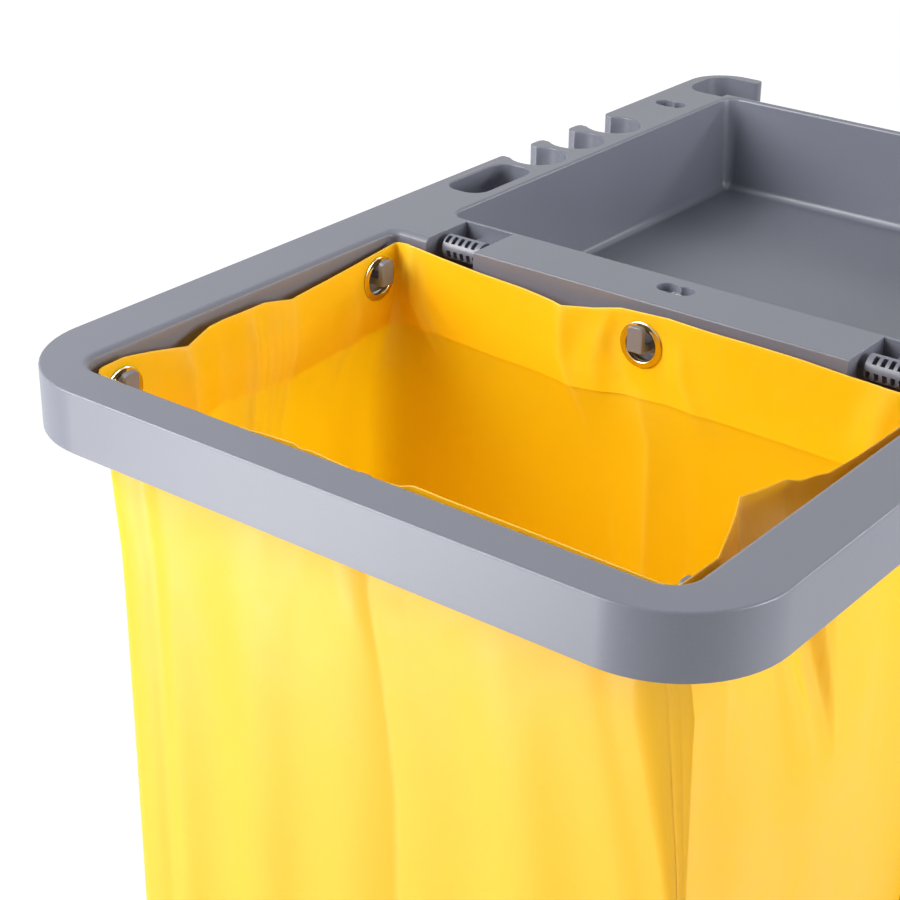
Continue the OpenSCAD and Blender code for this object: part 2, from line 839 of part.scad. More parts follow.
module rear_bush() {
  color("ivory") on_axle() difference() {
    bar_y(hub_y0, hub_y1, axle_r + run_fit + bush_t);
    bar_y(hub_y0 - cut, hub_y1 + cut, axle_r + run_fit);
  }
}

// A tyre of outer radius r round a rim, with rounded shoulders, lying along Y
module tyre_ring(r, depth, width, round_r) {
  x = width / 2 - round_r;
  rotate([90, 0, 0]) rotate_extrude() {
    box2(r - depth, r, -x, x);
    box2(r - depth, r - round_r, -width / 2, width / 2);
    for (s = [-1, 1]) translate([r - round_r, s * x]) circle(round_r);
  }
}

module rear_tyre() {
  color(dark) on_axle() translate([0, hub_mid_y, 0]) tyre_ring(wheel_r, tyre_depth, tyre_w, tyre_shoulder);
}

module axle_spacer_left() {
  axle_spacer();
}

module axle_spacer_right() {
  mirror([0, 1, 0]) axle_spacer();
}

module axle_cap_left() {
  axle_cap();
}

module axle_cap_right() {
  mirror([0, 1, 0]) axle_cap();
}

module rear_hub_left() {
  rear_hub();
}

module rear_hub_right() {
  mirror([0, 1, 0]) rear_hub();
}

module rear_bush_left() {
  rear_bush();
}

module rear_bush_right() {
  mirror([0, 1, 0]) rear_bush();
}

module rear_tyre_left() {
  rear_tyre();
}

module rear_tyre_right() {
  mirror([0, 1, 0]) rear_tyre();
}

// Places a child on the left caster's swivel axis, at floor level
module on_swivel() {
  translate([caster_x, caster_y, 0]) children();
}

// Places a child on the left caster's axle line
module on_caster_axle() {
  on_swivel() translate([-trail, 0, caster_r]) children();
}

module caster_plate() {
  color(steel) on_swivel() difference() {
    slab(plate_z0, plate_z1) round_box2(-plate_l / 2, plate_l / 2, -plate_w / 2, plate_w / 2, pad_r);
    slab(plate_z0 - cut, plate_z1 + cut) circle(king_r + push_fit);
    translate([0, 0, plate_z0 - cut]) at_plate_screws()
      cylinder(r = plate_screw_r + push_fit, h = plate_t + 2 * cut);
  }
}

module caster_race() {
  color(dark) on_swivel() slab(crown_z1 + end_gap, plate_z0) difference() {
    circle(race_r1);
    circle(race_r0);
  }
}

module king_pin() {
  z0 = crown_z0 - end_gap;
  color(steel) on_swivel() {
    slab(z0 - king_flange_h, z0) circle(king_flange_r);
    slab(z0 - king_flange_h / 2, plate_z1 + king_flange_h / 2) circle(king_r);
    slab(plate_z1, plate_z1 + king_flange_h) circle(king_flange_r);
  }
}

module caster_fork() {
  leg_top = 22;
  eye_r = 15;
  color(steel) on_swivel() difference() {
    union() {
      slab(crown_z0, crown_z1) circle(crown_r);
      for (s = [-1, 1]) translate([0, s * (leg_gap + leg_t) / 2 + leg_t / 2, 0]) rotate([90, 0, 0])
        linear_extrude(leg_t) {
          polygon([[-leg_top, crown_z1], [leg_top, crown_z1],
            [eye_r - trail, caster_r], [-eye_r - trail, caster_r]]);
          translate([-trail, caster_r]) circle(eye_r);
        }
    }
    slab(crown_z0 - cut, crown_z1 + cut) circle(king_r + run_fit);
    translate([-trail, 0, caster_r]) bar_y(-leg_gap, leg_gap, bolt_r + push_fit / 2);
  }
}

module caster_bolt() {
  y = leg_gap / 2 + leg_t;
  color(steel) on_caster_axle() {
    bar_y(-y - bolt_head_h - 2, y + bolt_head_h / 2, bolt_r);
    bar_y(y, y + bolt_head_h, bolt_head_r);
  }
}

module caster_nut() {
  y = leg_gap / 2 + leg_t;
  color(steel) on_caster_axle() difference() {
    translate([0, -y, 0]) rotate([90, 0, 0]) cylinder(r = bolt_head_r, h = bolt_head_h, $fn = 6);
    bar_y(-y - 2 * bolt_head_h, -y + cut, bolt_r + push_fit / 2);
  }
}

module caster_hub() {
  rim_r = caster_r - tread_depth - push_fit;
  web_t = 8;
  boss = 13;
  y = leg_gap / 2 - end_gap;
  color(grey) on_caster_axle() difference() {
    union() {
      bar_y(-y, y, boss);
      bar_y(-web_t / 2, web_t / 2, rim_r - 2);
      difference() {
        bar_y(-tread_w / 2, tread_w / 2, rim_r);
        bar_y(-tread_w, tread_w, rim_r - 5);
      }
    }
    bar_y(-leg_gap, leg_gap, bolt_r + run_fit);
  }
}

module caster_tread() {
  color(dark) on_caster_axle() tyre_ring(caster_r, tread_depth, tread_w, tread_shoulder);
}

module caster_plate_left() {
  caster_plate();
}

module caster_plate_right() {
  mirror([0, 1, 0]) caster_plate();
}

module caster_race_left() {
  caster_race();
}

module caster_race_right() {
  mirror([0, 1, 0]) caster_race();
}

module king_pin_left() {
  king_pin();
}

module king_pin_right() {
  mirror([0, 1, 0]) king_pin();
}

module caster_fork_left() {
  caster_fork();
}

module caster_fork_right() {
  mirror([0, 1, 0]) caster_fork();
}

module caster_bolt_left() {
  caster_bolt();
}

module caster_bolt_right() {
  mirror([0, 1, 0]) caster_bolt();
}

module caster_nut_left() {
  caster_nut();
}

module caster_nut_right() {
  mirror([0, 1, 0]) caster_nut();
}

module caster_hub_left() {
  caster_hub();
}

module caster_hub_right() {
  mirror([0, 1, 0]) caster_hub();
}

module caster_tread_left() {
  caster_tread();
}

module caster_tread_right() {
  mirror([0, 1, 0]) caster_tread();
}

module caster_plate_screws() {
  color(steel) both_sides() on_swivel() translate([0, 0, plate_z0]) at_plate_screws()
    mirror([0, 0, 1]) screw(plate_t + screw_bite - cut, plate_screw_r, plate_head_r, plate_head_h);
}

top_moulding();
hinge_barrel_left();
hinge_barrel_right();
cross_bar_screw();
front_rail_screws();
bag_hooks();
waste_bag();
bag_eyelets();
tie_bar();
tie_bar_screws();
post_rear_left();
post_rear_right();
post_front_left();
post_front_right();
post_foot_screws();
middle_shelf();
shelf_screws();
base_deck();
rear_axle();
axle_spacer_left();
axle_spacer_right();
axle_cap_left();
axle_cap_right();
rear_hub_left();
rear_hub_right();
rear_bush_left();
rear_bush_right();
rear_tyre_left();
rear_tyre_right();
caster_plate_left();
caster_plate_right();
caster_race_left();
caster_race_right();
king_pin_left();
king_pin_right();
caster_fork_left();
caster_fork_right();
caster_bolt_left();
caster_bolt_right();
caster_nut_left();
caster_nut_right();
caster_hub_left();
caster_hub_right();
caster_tread_left();
caster_tread_right();
caster_plate_screws();
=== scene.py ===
import json
import math

import bmesh
import bpy
import numpy as np
from mathutils import Matrix, Vector

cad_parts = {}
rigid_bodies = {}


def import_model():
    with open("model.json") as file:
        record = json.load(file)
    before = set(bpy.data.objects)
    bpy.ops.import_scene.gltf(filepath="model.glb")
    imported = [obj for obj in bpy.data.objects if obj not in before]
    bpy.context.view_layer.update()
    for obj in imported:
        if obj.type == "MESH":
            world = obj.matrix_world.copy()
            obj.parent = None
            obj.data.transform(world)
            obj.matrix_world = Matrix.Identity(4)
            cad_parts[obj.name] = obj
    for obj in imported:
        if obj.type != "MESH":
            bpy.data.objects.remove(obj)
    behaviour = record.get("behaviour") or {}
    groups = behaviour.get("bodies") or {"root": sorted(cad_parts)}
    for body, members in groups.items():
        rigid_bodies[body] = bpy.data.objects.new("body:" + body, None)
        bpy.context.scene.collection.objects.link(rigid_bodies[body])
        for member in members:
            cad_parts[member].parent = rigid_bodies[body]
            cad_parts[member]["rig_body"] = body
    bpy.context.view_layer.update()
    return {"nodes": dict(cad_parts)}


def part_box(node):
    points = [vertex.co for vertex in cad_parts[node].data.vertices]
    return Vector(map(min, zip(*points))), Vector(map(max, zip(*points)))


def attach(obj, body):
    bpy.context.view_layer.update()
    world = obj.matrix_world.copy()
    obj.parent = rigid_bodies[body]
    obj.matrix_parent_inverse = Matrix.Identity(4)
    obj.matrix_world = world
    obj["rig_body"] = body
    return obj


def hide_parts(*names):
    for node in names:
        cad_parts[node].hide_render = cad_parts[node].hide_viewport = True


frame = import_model()
scene = bpy.context.scene
mm = 0.001  # sizes below are in millimetres, the frame is in metres
touch = 0.001 * mm  # points nearer than this are one
quarter = math.pi / 2  # a quarter turn, in radians
print("frame loaded:", len(frame["nodes"]), "nodes")

# The photograph's viewpoint, solved from the straight edges of the top
viewpoint = {
    "place": (-1286.225, -653.063, 1478.444),
    "heading": 37.9043,  # degrees from +X towards +Y
    "dip": 26.27275,     # degrees below the horizon
    "roll": 0.61857,
    "lens": 82.06,
    "sensor": 36.0,
}


def placeCamera(view):
    heading, dip, roll = (math.radians(view[key]) for key in ("heading", "dip", "roll"))
    ahead = Vector((math.cos(heading) * math.cos(dip), math.sin(heading) * math.cos(dip), -math.sin(dip)))
    across = Vector((math.sin(heading), -math.cos(heading), 0))
    above = across.cross(ahead)
    right = math.cos(roll) * across + math.sin(roll) * above
    up = math.cos(roll) * above - math.sin(roll) * across
    lens = bpy.data.cameras.new("photoCamera")
    lens.lens, lens.sensor_width = view["lens"], view["sensor"]
    lens.clip_start, lens.clip_end = 0.01, 100
    eye = bpy.data.objects.new("photoCamera", lens)
    stand = Matrix.Translation(Vector(view["place"]) * mm)
    eye.matrix_world = stand @ Matrix((right, up, -ahead)).transposed().to_4x4()
    scene.collection.objects.link(eye)
    scene.camera = eye


placeCamera(viewpoint)
scene.view_settings.view_transform = "Standard"
print("camera placed")


def addNode(tree, kind, inputs=None, **settings):
    made = tree.nodes.new(kind)
    for key, value in settings.items():
        setattr(made, key, value)
    for key, value in (inputs or {}).items():
        if isinstance(value, bpy.types.NodeSocket):
            tree.links.new(value, made.inputs[key])
        else:
            made.inputs[key].default_value = value
    return made


def linear(hexColour):
    shares = [int(hexColour[i:i + 2], 16) / 255 for i in (1, 3, 5)]
    return [*(c / 12.92 if c <= 0.04045 else ((c + 0.055) / 1.055) ** 2.4 for c in shares), 1.0]


def perMetre(size):
    return 1 / (size * mm)  # a texture's scale for features of that size in millimetres


def newFinish(name):
    finish = bpy.data.materials.new(name)
    finish.use_nodes = True
    tree = finish.node_tree
    place = addNode(tree, "ShaderNodeTexCoord").outputs["Object"]
    return finish, tree, tree.nodes["Principled BSDF"], place


# Injection-moulded plastic: an even satin skin with the tool's fine grain, faint flow clouds and scuffs
def mouldedPlastic(name, light, dark, roughness, grain=1.4, cloud=110, ior=1.49):
    finish, tree, shader, place = newFinish(name)
    clouds = addNode(tree, "ShaderNodeTexNoise", {"Vector": place, "Scale": perMetre(cloud), "Detail": 4.0})
    grains = addNode(tree, "ShaderNodeTexNoise", {"Vector": place, "Scale": perMetre(grain), "Detail": 2.0})
    turned = addNode(tree, "ShaderNodeMapping", {
        "Vector": place, "Rotation": (0.3, 0.2, 0.6), "Scale": (1, 14, 3)})
    scuffs = addNode(tree, "ShaderNodeTexNoise", {
        "Vector": turned.outputs[0], "Scale": perMetre(60), "Detail": 6.0, "Roughness": 0.7})
    scratch = addNode(tree, "ShaderNodeMapRange", {
        "Value": scuffs.outputs[0], "From Min": 0.62, "From Max": 0.8, "To Min": 0.0, "To Max": 0.09})
    tone = addNode(tree, "ShaderNodeMix", {
        0: clouds.outputs[0], 6: linear(light), 7: linear(dark)}, data_type="RGBA")
    speck = addNode(tree, "ShaderNodeMapRange", {
        "Value": grains.outputs[0], "From Min": 0.3, "From Max": 0.7, "To Min": 0.975, "To Max": 1.025})
    shade = addNode(tree, "ShaderNodeMix", {
        0: 1.0, 6: tone.outputs[2], 7: speck.outputs[0]}, data_type="RGBA", blend_type="MULTIPLY")
    satin = addNode(tree, "ShaderNodeMapRange", {
        "Value": grains.outputs[0], "From Min": 0.3, "From Max": 0.7,
        "To Min": roughness - 0.05, "To Max": roughness + 0.05})
    rough = addNode(tree, "ShaderNodeMath", {0: satin.outputs[0], 1: scratch.outputs[0]}, operation="ADD")
    bump = addNode(tree, "ShaderNodeBump", {
        "Height": grains.outputs[0], "Strength": 0.06, "Distance": 0.3 * mm})
    tree.links.new(shade.outputs[2], shader.inputs["Base Color"])
    tree.links.new(rough.outputs[0], shader.inputs["Roughness"])
    tree.links.new(bump.outputs[0], shader.inputs["Normal"])
    shader.inputs["IOR"].default_value = ior
    return finish


bagHem = 58.0  # folded inwards and welded double


# Plasticised PVC on a polyester scrim: a smooth calendered skin, the cloth's threads just showing through,
# paler where it was creased in the packing. Less light passes through the double hem
def coatedVinyl(name):
    finish, tree, shader, place = newFinish(name)
    flat = addNode(tree, "ShaderNodeTexCoord").outputs["UV"]
    # Bands about 15 mm apart, far coarser than real threads, so that they show
    bands = {"Vector": flat, "Scale": perMetre(48), "Distortion": 0.4, "Detail": 1.0}
    warp = addNode(tree, "ShaderNodeTexWave", bands, wave_type="BANDS", bands_direction="X")
    weft = addNode(tree, "ShaderNodeTexWave", bands, wave_type="BANDS", bands_direction="Y")
    weave = addNode(tree, "ShaderNodeMath", {0: warp.outputs[1], 1: weft.outputs[1]}, operation="MULTIPLY")
    clouds = addNode(tree, "ShaderNodeTexNoise", {"Vector": place, "Scale": perMetre(140), "Detail": 3.0})
    rumple = addNode(tree, "ShaderNodeTexNoise", {"Vector": place, "Scale": perMetre(22), "Detail": 3.0})
    crease = addNode(tree, "ShaderNodeAttribute", attribute_name="crease")
    tone = addNode(tree, "ShaderNodeMix", {
        0: clouds.outputs[0], 6: linear("#FED20C"), 7: linear("#FCCB06")}, data_type="RGBA")
    pale = addNode(tree, "ShaderNodeMath", {0: crease.outputs["Fac"], 1: 0.35}, operation="MULTIPLY")
    worn = addNode(tree, "ShaderNodeMix", {
        0: pale.outputs[0], 6: tone.outputs[2], 7: linear("#FFDB50")}, data_type="RGBA")
    rough = addNode(tree, "ShaderNodeMapRange", {
        "Value": rumple.outputs[0], "From Min": 0.3, "From Max": 0.7, "To Min": 0.34, "To Max": 0.46})
    threads = addNode(tree, "ShaderNodeBump", {
        "Height": weave.outputs[0], "Strength": 0.1, "Distance": 0.2 * mm})
    bump = addNode(tree, "ShaderNodeBump", {
        "Height": rumple.outputs[0], "Strength": 0.25, "Distance": 1.2 * mm, "Normal": threads.outputs[0]})
    tree.links.new(worn.outputs[2], shader.inputs["Base Color"])
    tree.links.new(rough.outputs[0], shader.inputs["Roughness"])
    tree.links.new(bump.outputs[0], shader.inputs["Normal"])
    shader.inputs["IOR"].default_value = 1.53
    shader.inputs["Coat Weight"].default_value = 0.25
    shader.inputs["Coat Roughness"].default_value = 0.36
    glow = addNode(tree, "ShaderNodeBsdfTranslucent", {"Color": linear("#FFCB0A")})
    down = addNode(tree, "ShaderNodeSeparateXYZ", {"Vector": flat})
    single = addNode(tree, "ShaderNodeMath", {
        0: down.outputs["Y"], 1: bagHem * mm}, operation="GREATER_THAN")
    passed = addNode(tree, "ShaderNodeMapRange", {
        "Value": single.outputs[0], "To Min": 0.14, "To Max": 0.3})
    cloth = addNode(tree, "ShaderNodeMixShader", {
        0: passed.outputs[0], 1: shader.outputs[0], 2: glow.outputs[0]})
    tree.links.new(cloth.outputs[0], tree.nodes["Material Output"].inputs["Surface"])
    return finish


# Plated steel: a bright thin coat, its gloss broken by drawing marks and handling
def platedMetal(name, light, dark, roughness, mark=3.0):
    finish, tree, shader, place = newFinish(name)
    drawn = addNode(tree, "ShaderNodeMapping", {"Vector": place, "Scale": (1, 1, 12)})
    marks = addNode(tree, "ShaderNodeTexNoise", {
        "Vector": drawn.outputs[0], "Scale": perMetre(mark), "Detail": 4.0})
    clouds = addNode(tree, "ShaderNodeTexNoise", {"Vector": place, "Scale": perMetre(25), "Detail": 3.0})
    tone = addNode(tree, "ShaderNodeMix", {
        0: clouds.outputs[0], 6: linear(light), 7: linear(dark)}, data_type="RGBA")
    rough = addNode(tree, "ShaderNodeMapRange", {
        "Value": marks.outputs[0], "From Min": 0.3, "From Max": 0.7,
        "To Min": roughness - 0.06, "To Max": roughness + 0.08})
    bump = addNode(tree, "ShaderNodeBump", {
        "Height": marks.outputs[0], "Strength": 0.08, "Distance": 0.1 * mm})
    tree.links.new(tone.outputs[2], shader.inputs["Base Color"])
    tree.links.new(rough.outputs[0], shader.inputs["Roughness"])
    tree.links.new(bump.outputs[0], shader.inputs["Normal"])
    shader.inputs["Metallic"].default_value = 1.0
    return finish


# Thermoplastic rubber: matt, a little dusty, with the mould's fine pits
def tyreRubber(name):
    finish, tree, shader, place = newFinish(name)
    pits = addNode(tree, "ShaderNodeTexNoise", {"Vector": place, "Scale": perMetre(2.0), "Detail": 3.0})
    dust = addNode(tree, "ShaderNodeTexNoise", {"Vector": place, "Scale": perMetre(40), "Detail": 5.0})
    film = addNode(tree, "ShaderNodeMapRange", {
        "Value": dust.outputs[0], "From Min": 0.4, "From Max": 0.75})
    tone = addNode(tree, "ShaderNodeMix", {
        0: film.outputs[0], 6: linear("#55565A"), 7: linear("#66676A")}, data_type="RGBA")
    rough = addNode(tree, "ShaderNodeMapRange", {"Value": pits.outputs[0], "To Min": 0.62, "To Max": 0.85})
    bump = addNode(tree, "ShaderNodeBump", {
        "Height": pits.outputs[0], "Strength": 0.2, "Distance": 0.3 * mm})
    tree.links.new(tone.outputs[2], shader.inputs["Base Color"])
    tree.links.new(rough.outputs[0], shader.inputs["Roughness"])
    tree.links.new(bump.outputs[0], shader.inputs["Normal"])
    return finish


finishes = {
    "grey_plastic": mouldedPlastic("greyPolypropylene", "#7B7E8A", "#737683", 0.36, ior=1.58),
    "yellow_vinyl": coatedVinyl("yellowCoatedVinyl"),
    # the eyelets' warm golden tone is painted reflection of the yellow bag on the nickel plate
    "eyelet_metal": platedMetal("nickelWithPaintedBagReflection", "#DACBA8", "#C4B088", 0.14),
    "screw_steel": platedMetal("zincPlatedScrewSteel", "#E2E4E6", "#CFD2D5", 0.36),
    "grey_rubber": tyreRubber("greyThermoplasticRubber"),
    "white_nylon": mouldedPlastic("turnedWhiteNylon", "#E9E7E0", "#DDDAD2", 0.4),
    "wheel_plastic": mouldedPlastic("wheelPolypropylene", "#85878F", "#7B7D86", 0.45),
    "dark_plastic": mouldedPlastic("darkPolypropylene", "#5A5A60", "#505157", 0.45),
    "zinc_steel": platedMetal("zincPlatedPressedSteel", "#C9CCD0", "#AEB2B8", 0.32, mark=6.0),
}
print("finishes made:", len(finishes))


def givePlace(piece, slot, body, *nodes):
    if piece.name not in scene.collection.objects:
        scene.collection.objects.link(piece)
    piece.data.materials.clear()
    piece.data.materials.append(finishes[slot])
    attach(piece, body)
    if nodes:
        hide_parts(*nodes)


def evenShade(piece, sharpAngle=38):
    for face in piece.data.polygons:
        face.use_smooth = True
    piece.data.set_sharp_from_angle(angle=math.radians(sharpAngle))
    shade = piece.modifiers.new("evenShade", "WEIGHTED_NORMAL")
    shade.keep_sharp, shade.weight = True, 80


def bodyOf(node):
    return frame["nodes"][node]["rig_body"]


def isHard(edge, angle=math.radians(30)):
    return len(edge.link_faces) == 2 and edge.calc_face_angle(0) > angle


# A merged copy of a moulded or pressed piece, its hard edges rounded in passes of (radius, which edges).
# Only the pass over every edge is clamped, because one short edge would thin a chosen pass all round.
# No point rises above the solid's top
def roundedCopy(name, node, passes, segments=3, levelWithin=math.radians(0.3)):
    mesh = bmesh.new()
    mesh.from_mesh(frame["nodes"][node].data)
    bmesh.ops.remove_doubles(mesh, verts=mesh.verts, dist=touch)
    bmesh.ops.dissolve_limit(mesh, angle_limit=levelWithin, verts=mesh.verts, edges=mesh.edges)
    ceiling = max(vert.co.z for vert in mesh.verts)
    for radius, chosen in passes:
        edges = [e for e in mesh.edges if isHard(e) and chosen((e.verts[0].co + e.verts[1].co) / 2 / mm, e)]
        bmesh.ops.bevel(mesh, geom=edges, offset=radius * mm, segments=segments, profile=0.5,
                        affect="EDGES", clamp_overlap=chosen is everyEdge)
    for vert in mesh.verts:
        vert.co.z = min(vert.co.z, ceiling)
    data = bpy.data.meshes.new(name)
    mesh.to_mesh(data)
    mesh.free()
    piece = bpy.data.objects.new(name, data)
    evenShade(piece)
    return piece


def everyEdge(at, edge):
    return True


# The top moulding: soft inner lip round the bag, a filleted tray, small radii elsewhere
topLow, topHigh = (Vector(corner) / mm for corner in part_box("top_moulding"))
top = {
    "mouthLip": 5.0,
    "barLip": 1.2,
    "trayFoot": 6.0,
    "trayLip": 2.2,
    "outerEdge": 1.5,
    "holeEdge": 1.2,
    "edge": 1.0,
    "fingerRound": 5.0,
    "fingerX": (-80.0, 100.0),
    "halfWidth": (topHigh.y - topLow.y) / 2,
    "railMiddle": 234.0,
    "loopEndX": -554.0,
    "loopStopX": -150.0,
    "holesX": (-150.0, 110.0),
    "mouthX": (-538.0, -240.0),
    "mouthY": 213.0,
    "barY": 143.0,
    "trayX": (-190.0, 192.0),
    "trayY": 203.0,
    "trayFloor": 902.0,
    "height": topHigh.z,
    "upright": 5.0,  # an edge that rises by more stands upright
    "holeGap": 5.0,  # the holes' edges lie further than this from the tray's side
    "slack": 0.5,    # allowed when an edge is matched to a place
}


def atTop(at):
    return at.z > top["height"] - top["slack"]


def onFinger(at, edge):
    upright = abs(edge.verts[0].co.z - edge.verts[1].co.z) > top["upright"] * mm
    inX = top["fingerX"][0] < at.x < top["fingerX"][1]
    return upright and inX and abs(at.y) > top["halfWidth"] - top["slack"]


def onBarLip(at, edge):
    inFront = abs(at.x - top["mouthX"][1]) < top["slack"] and abs(at.y) < top["barY"]
    return inFront and atTop(at)


def onMouthLip(at, edge):
    inX = top["mouthX"][0] - top["slack"] < at.x < top["mouthX"][1] + top["slack"]
    inY = abs(at.y) < top["mouthY"] + top["slack"]
    return inX and inY and atTop(at) and not onBarLip(at, edge)


def onOuterEdge(at, edge):
    outside = abs(at.y) > top["railMiddle"] or at.x < top["loopEndX"]
    return outside and atTop(at) and at.x < top["loopStopX"]


def onHoleEdge(at, edge):
    inX = top["holesX"][0] < at.x < top["holesX"][1]
    inY = top["trayY"] + top["holeGap"] < abs(at.y) < top["halfWidth"] - top["fingerRound"]
    return inX and inY and atTop(at)


def onTrayFoot(at, edge):
    return abs(at.z - top["trayFloor"]) < top["slack"]


def onTrayLip(at, edge):
    inX = top["trayX"][0] - top["slack"] < at.x < top["trayX"][1] + top["slack"]
    return inX and abs(at.y) < top["trayY"] + top["slack"] and atTop(at)


topShell = roundedCopy("topMouldingShell", "top_moulding", [
    (top["fingerRound"], onFinger),
    (top["mouthLip"], onMouthLip),
    (top["barLip"], onBarLip),
    (top["outerEdge"], onOuterEdge),
    (top["trayFoot"], onTrayFoot),
    (top["trayLip"], onTrayLip),
    (top["holeEdge"], onHoleEdge),
    (top["edge"], everyEdge),
])
givePlace(topShell, "grey_plastic", "root", "top_moulding")
print("top moulding rounded:", len(topShell.data.polygons), "faces")

# Other moulded and pressed pieces: finish, edge radius, and whether there is one or a left and a right one
alone, paired = ("",), ("_left", "_right")
roundedPieces = {
    "hinge_barrel": ("grey_plastic", 0.5, paired),
    "bag_hooks": ("grey_plastic", 0.9, alone),
    "tie_bar": ("dark_plastic", 0.8, alone),
    "post_rear": ("grey_plastic", 1.0, paired),
    "post_front": ("grey_plastic", 1.0, paired),
    "middle_shelf": ("grey_plastic", 1.2, alone),
    "base_deck": ("grey_plastic", 1.5, alone),
    "axle_spacer": ("dark_plastic", 0.8, paired),
    "axle_cap": ("dark_plastic", 1.2, paired),
    "rear_hub": ("wheel_plastic", 1.0, paired),
    "caster_hub": ("wheel_plastic", 0.8, paired),
    "caster_fork": ("zinc_steel", 0.8, paired),
    "caster_plate": ("zinc_steel", 0.8, paired),
    "caster_bolt": ("zinc_steel", 0.8, paired),
    "caster_nut": ("zinc_steel", 0.6, paired),
    "king_pin": ("zinc_steel", 0.6, paired),
    "caster_race": ("zinc_steel", 0.8, paired),
}
for pieceName, (slotName, edgeRadius, sides) in roundedPieces.items():
    for nodeName in [pieceName + side for side in sides]:
        copy = roundedCopy(nodeName + "_finished", nodeName, [(edgeRadius, everyEdge)], segments=2)
        givePlace(copy, slotName, bodyOf(nodeName), nodeName)
print("rounded pieces made:", len(roundedPieces), "kinds")

# Turned pieces that keep their exact solids
turnedPieces = {"rear_axle": ("zinc_steel", alone), "rear_bush": ("white_nylon", paired)}
for pieceName, (slotName, sides) in turnedPieces.items():
    for side in sides:
        solid = frame["nodes"][pieceName + side]
        solid.data.materials.clear()
        solid.data.materials.append(finishes[slotName])
print("turned pieces finished:", len(turnedPieces), "kinds")


# A closed ring swept round Z from an outline of (radius, height) points, in millimetres
def lathe(name, outline, segments):
    count = len(outline)
    points, faces = [], []
    for i in range(segments):
        turn = 2 * math.pi * i / segments
        points += [(r * mm * math.cos(turn), r * mm * math.sin(turn), h * mm) for r, h in outline]
        after = (i + 1) % segments
        for j in range(count):
            k = (j + 1) % count
            faces.append((i * count + j, after * count + j, after * count + k, i * count + k))
    data = bpy.data.meshes.new(name)
    data.from_pydata(points, [], faces)
    data.update()
    return bpy.data.objects.new(name, data)


def arc(centre, radius, start, stop, steps):
    turns = [math.radians(start + (stop - start) * i / steps) for i in range(steps + 1)]
    return [(centre[0] + radius * math.cos(t), centre[1] + radius * math.sin(t)) for t in turns]


# Tyres: rounded shoulders, a raised bead ring on each wall, grooves round the tread.
# The wall's points are out from the inner radius and in from the tyre's side
tyres = {
    "rear": {"shoulder": 6.0, "grooves": 3, "grooveWidth": 2.6, "grooveDepth": 1.6, "depth": 16.0},
    "caster": {"shoulder": 2.5, "grooves": 2, "grooveWidth": 1.8, "grooveDepth": 0.9, "depth": 8.0},
}
tyreWall = [(0.0, 1.0), (0.8, 0.4), (2.2, 0.4), (2.8, 0.0), (3.8, 0.0), (4.4, 0.5)]
grooveFoot = 0.6  # a groove's width at its foot, as a share of its width at the tread


def tyreOutline(radius, width, spec):
    half, shoulder = width / 2, spec["shoulder"]
    inner = radius - spec["depth"]
    side = [(inner + out, inward - half) for out, inward in tyreWall]
    crown = arc((radius - shoulder, shoulder - half), shoulder, start=270, stop=360, steps=6)
    flat = width - 2 * shoulder
    edge, bottom = spec["grooveWidth"] / 2, radius - spec["grooveDepth"]
    foot = edge * grooveFoot
    tread = []
    for i in range(spec["grooves"]):
        middle = -flat / 2 + flat * (i + 0.5) / spec["grooves"]
        tread += [(radius, middle - edge), (bottom, middle - foot)]
        tread += [(bottom, middle + foot), (radius, middle + edge)]
    mirrored = [(r, -y) for r, y in reversed(side + crown)]
    return side + crown + tread + mirrored


def makeTyre(node, slot, spec, segments=120):
    low, high = (Vector(c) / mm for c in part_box(node))
    middle = (low + high) / 2
    radius, width = (high.z - low.z) / 2, high.y - low.y
    tyre = lathe(node + "_finished", tyreOutline(radius, width, spec), segments)
    tyre.data.transform(Matrix.Translation(middle * mm) @ Matrix.Rotation(-quarter, 4, "X"))
    evenShade(tyre, sharpAngle=50)
    givePlace(tyre, slot, bodyOf(node), node)


for side in paired:
    makeTyre("rear_tyre" + side, "grey_rubber", tyres["rear"])
    makeTyre("caster_tread" + side, "grey_rubber", tyres["caster"])
print("tyres made")


# Geometry Nodes: one shape set at every point, turned by the point's own angles
def copiesTree():
    tree = bpy.data.node_groups.new("setCopies", "GeometryNodeTree")
    face = tree.interface
    face.new_socket("Places", in_out="INPUT", socket_type="NodeSocketGeometry")
    face.new_socket("Shape", in_out="INPUT", socket_type="NodeSocketObject")
    face.new_socket("Size", in_out="INPUT", socket_type="NodeSocketFloat")
    face.new_socket("Finish", in_out="INPUT", socket_type="NodeSocketMaterial")
    face.new_socket("Copies", in_out="OUTPUT", socket_type="NodeSocketGeometry")
    start = addNode(tree, "NodeGroupInput")
    shape = addNode(tree, "GeometryNodeObjectInfo", {"Object": start.outputs["Shape"]})
    turn = addNode(tree, "GeometryNodeInputNamedAttribute", {"Name": "turn"}, data_type="FLOAT_VECTOR")
    size = addNode(tree, "ShaderNodeCombineXYZ", {axis: start.outputs["Size"] for axis in "XYZ"})
    copies = addNode(tree, "GeometryNodeInstanceOnPoints", {
        "Points": start.outputs["Places"], "Instance": shape.outputs["Geometry"],
        "Rotation": turn.outputs["Attribute"], "Scale": size.outputs[0]})
    solid = addNode(tree, "GeometryNodeRealizeInstances", {"Geometry": copies.outputs[0]})
    coated = addNode(tree, "GeometryNodeSetMaterial", {
        "Geometry": solid.outputs[0], "Material": start.outputs["Finish"]})
    addNode(tree, "NodeGroupOutput", {"Copies": coated.outputs[0]})
    return tree


setCopies = copiesTree()


def plainMesh(piece):
    made = bpy.data.meshes.new_from_object(piece.evaluated_get(bpy.context.evaluated_depsgraph_get()))
    piece.modifiers.clear()
    piece.data = made


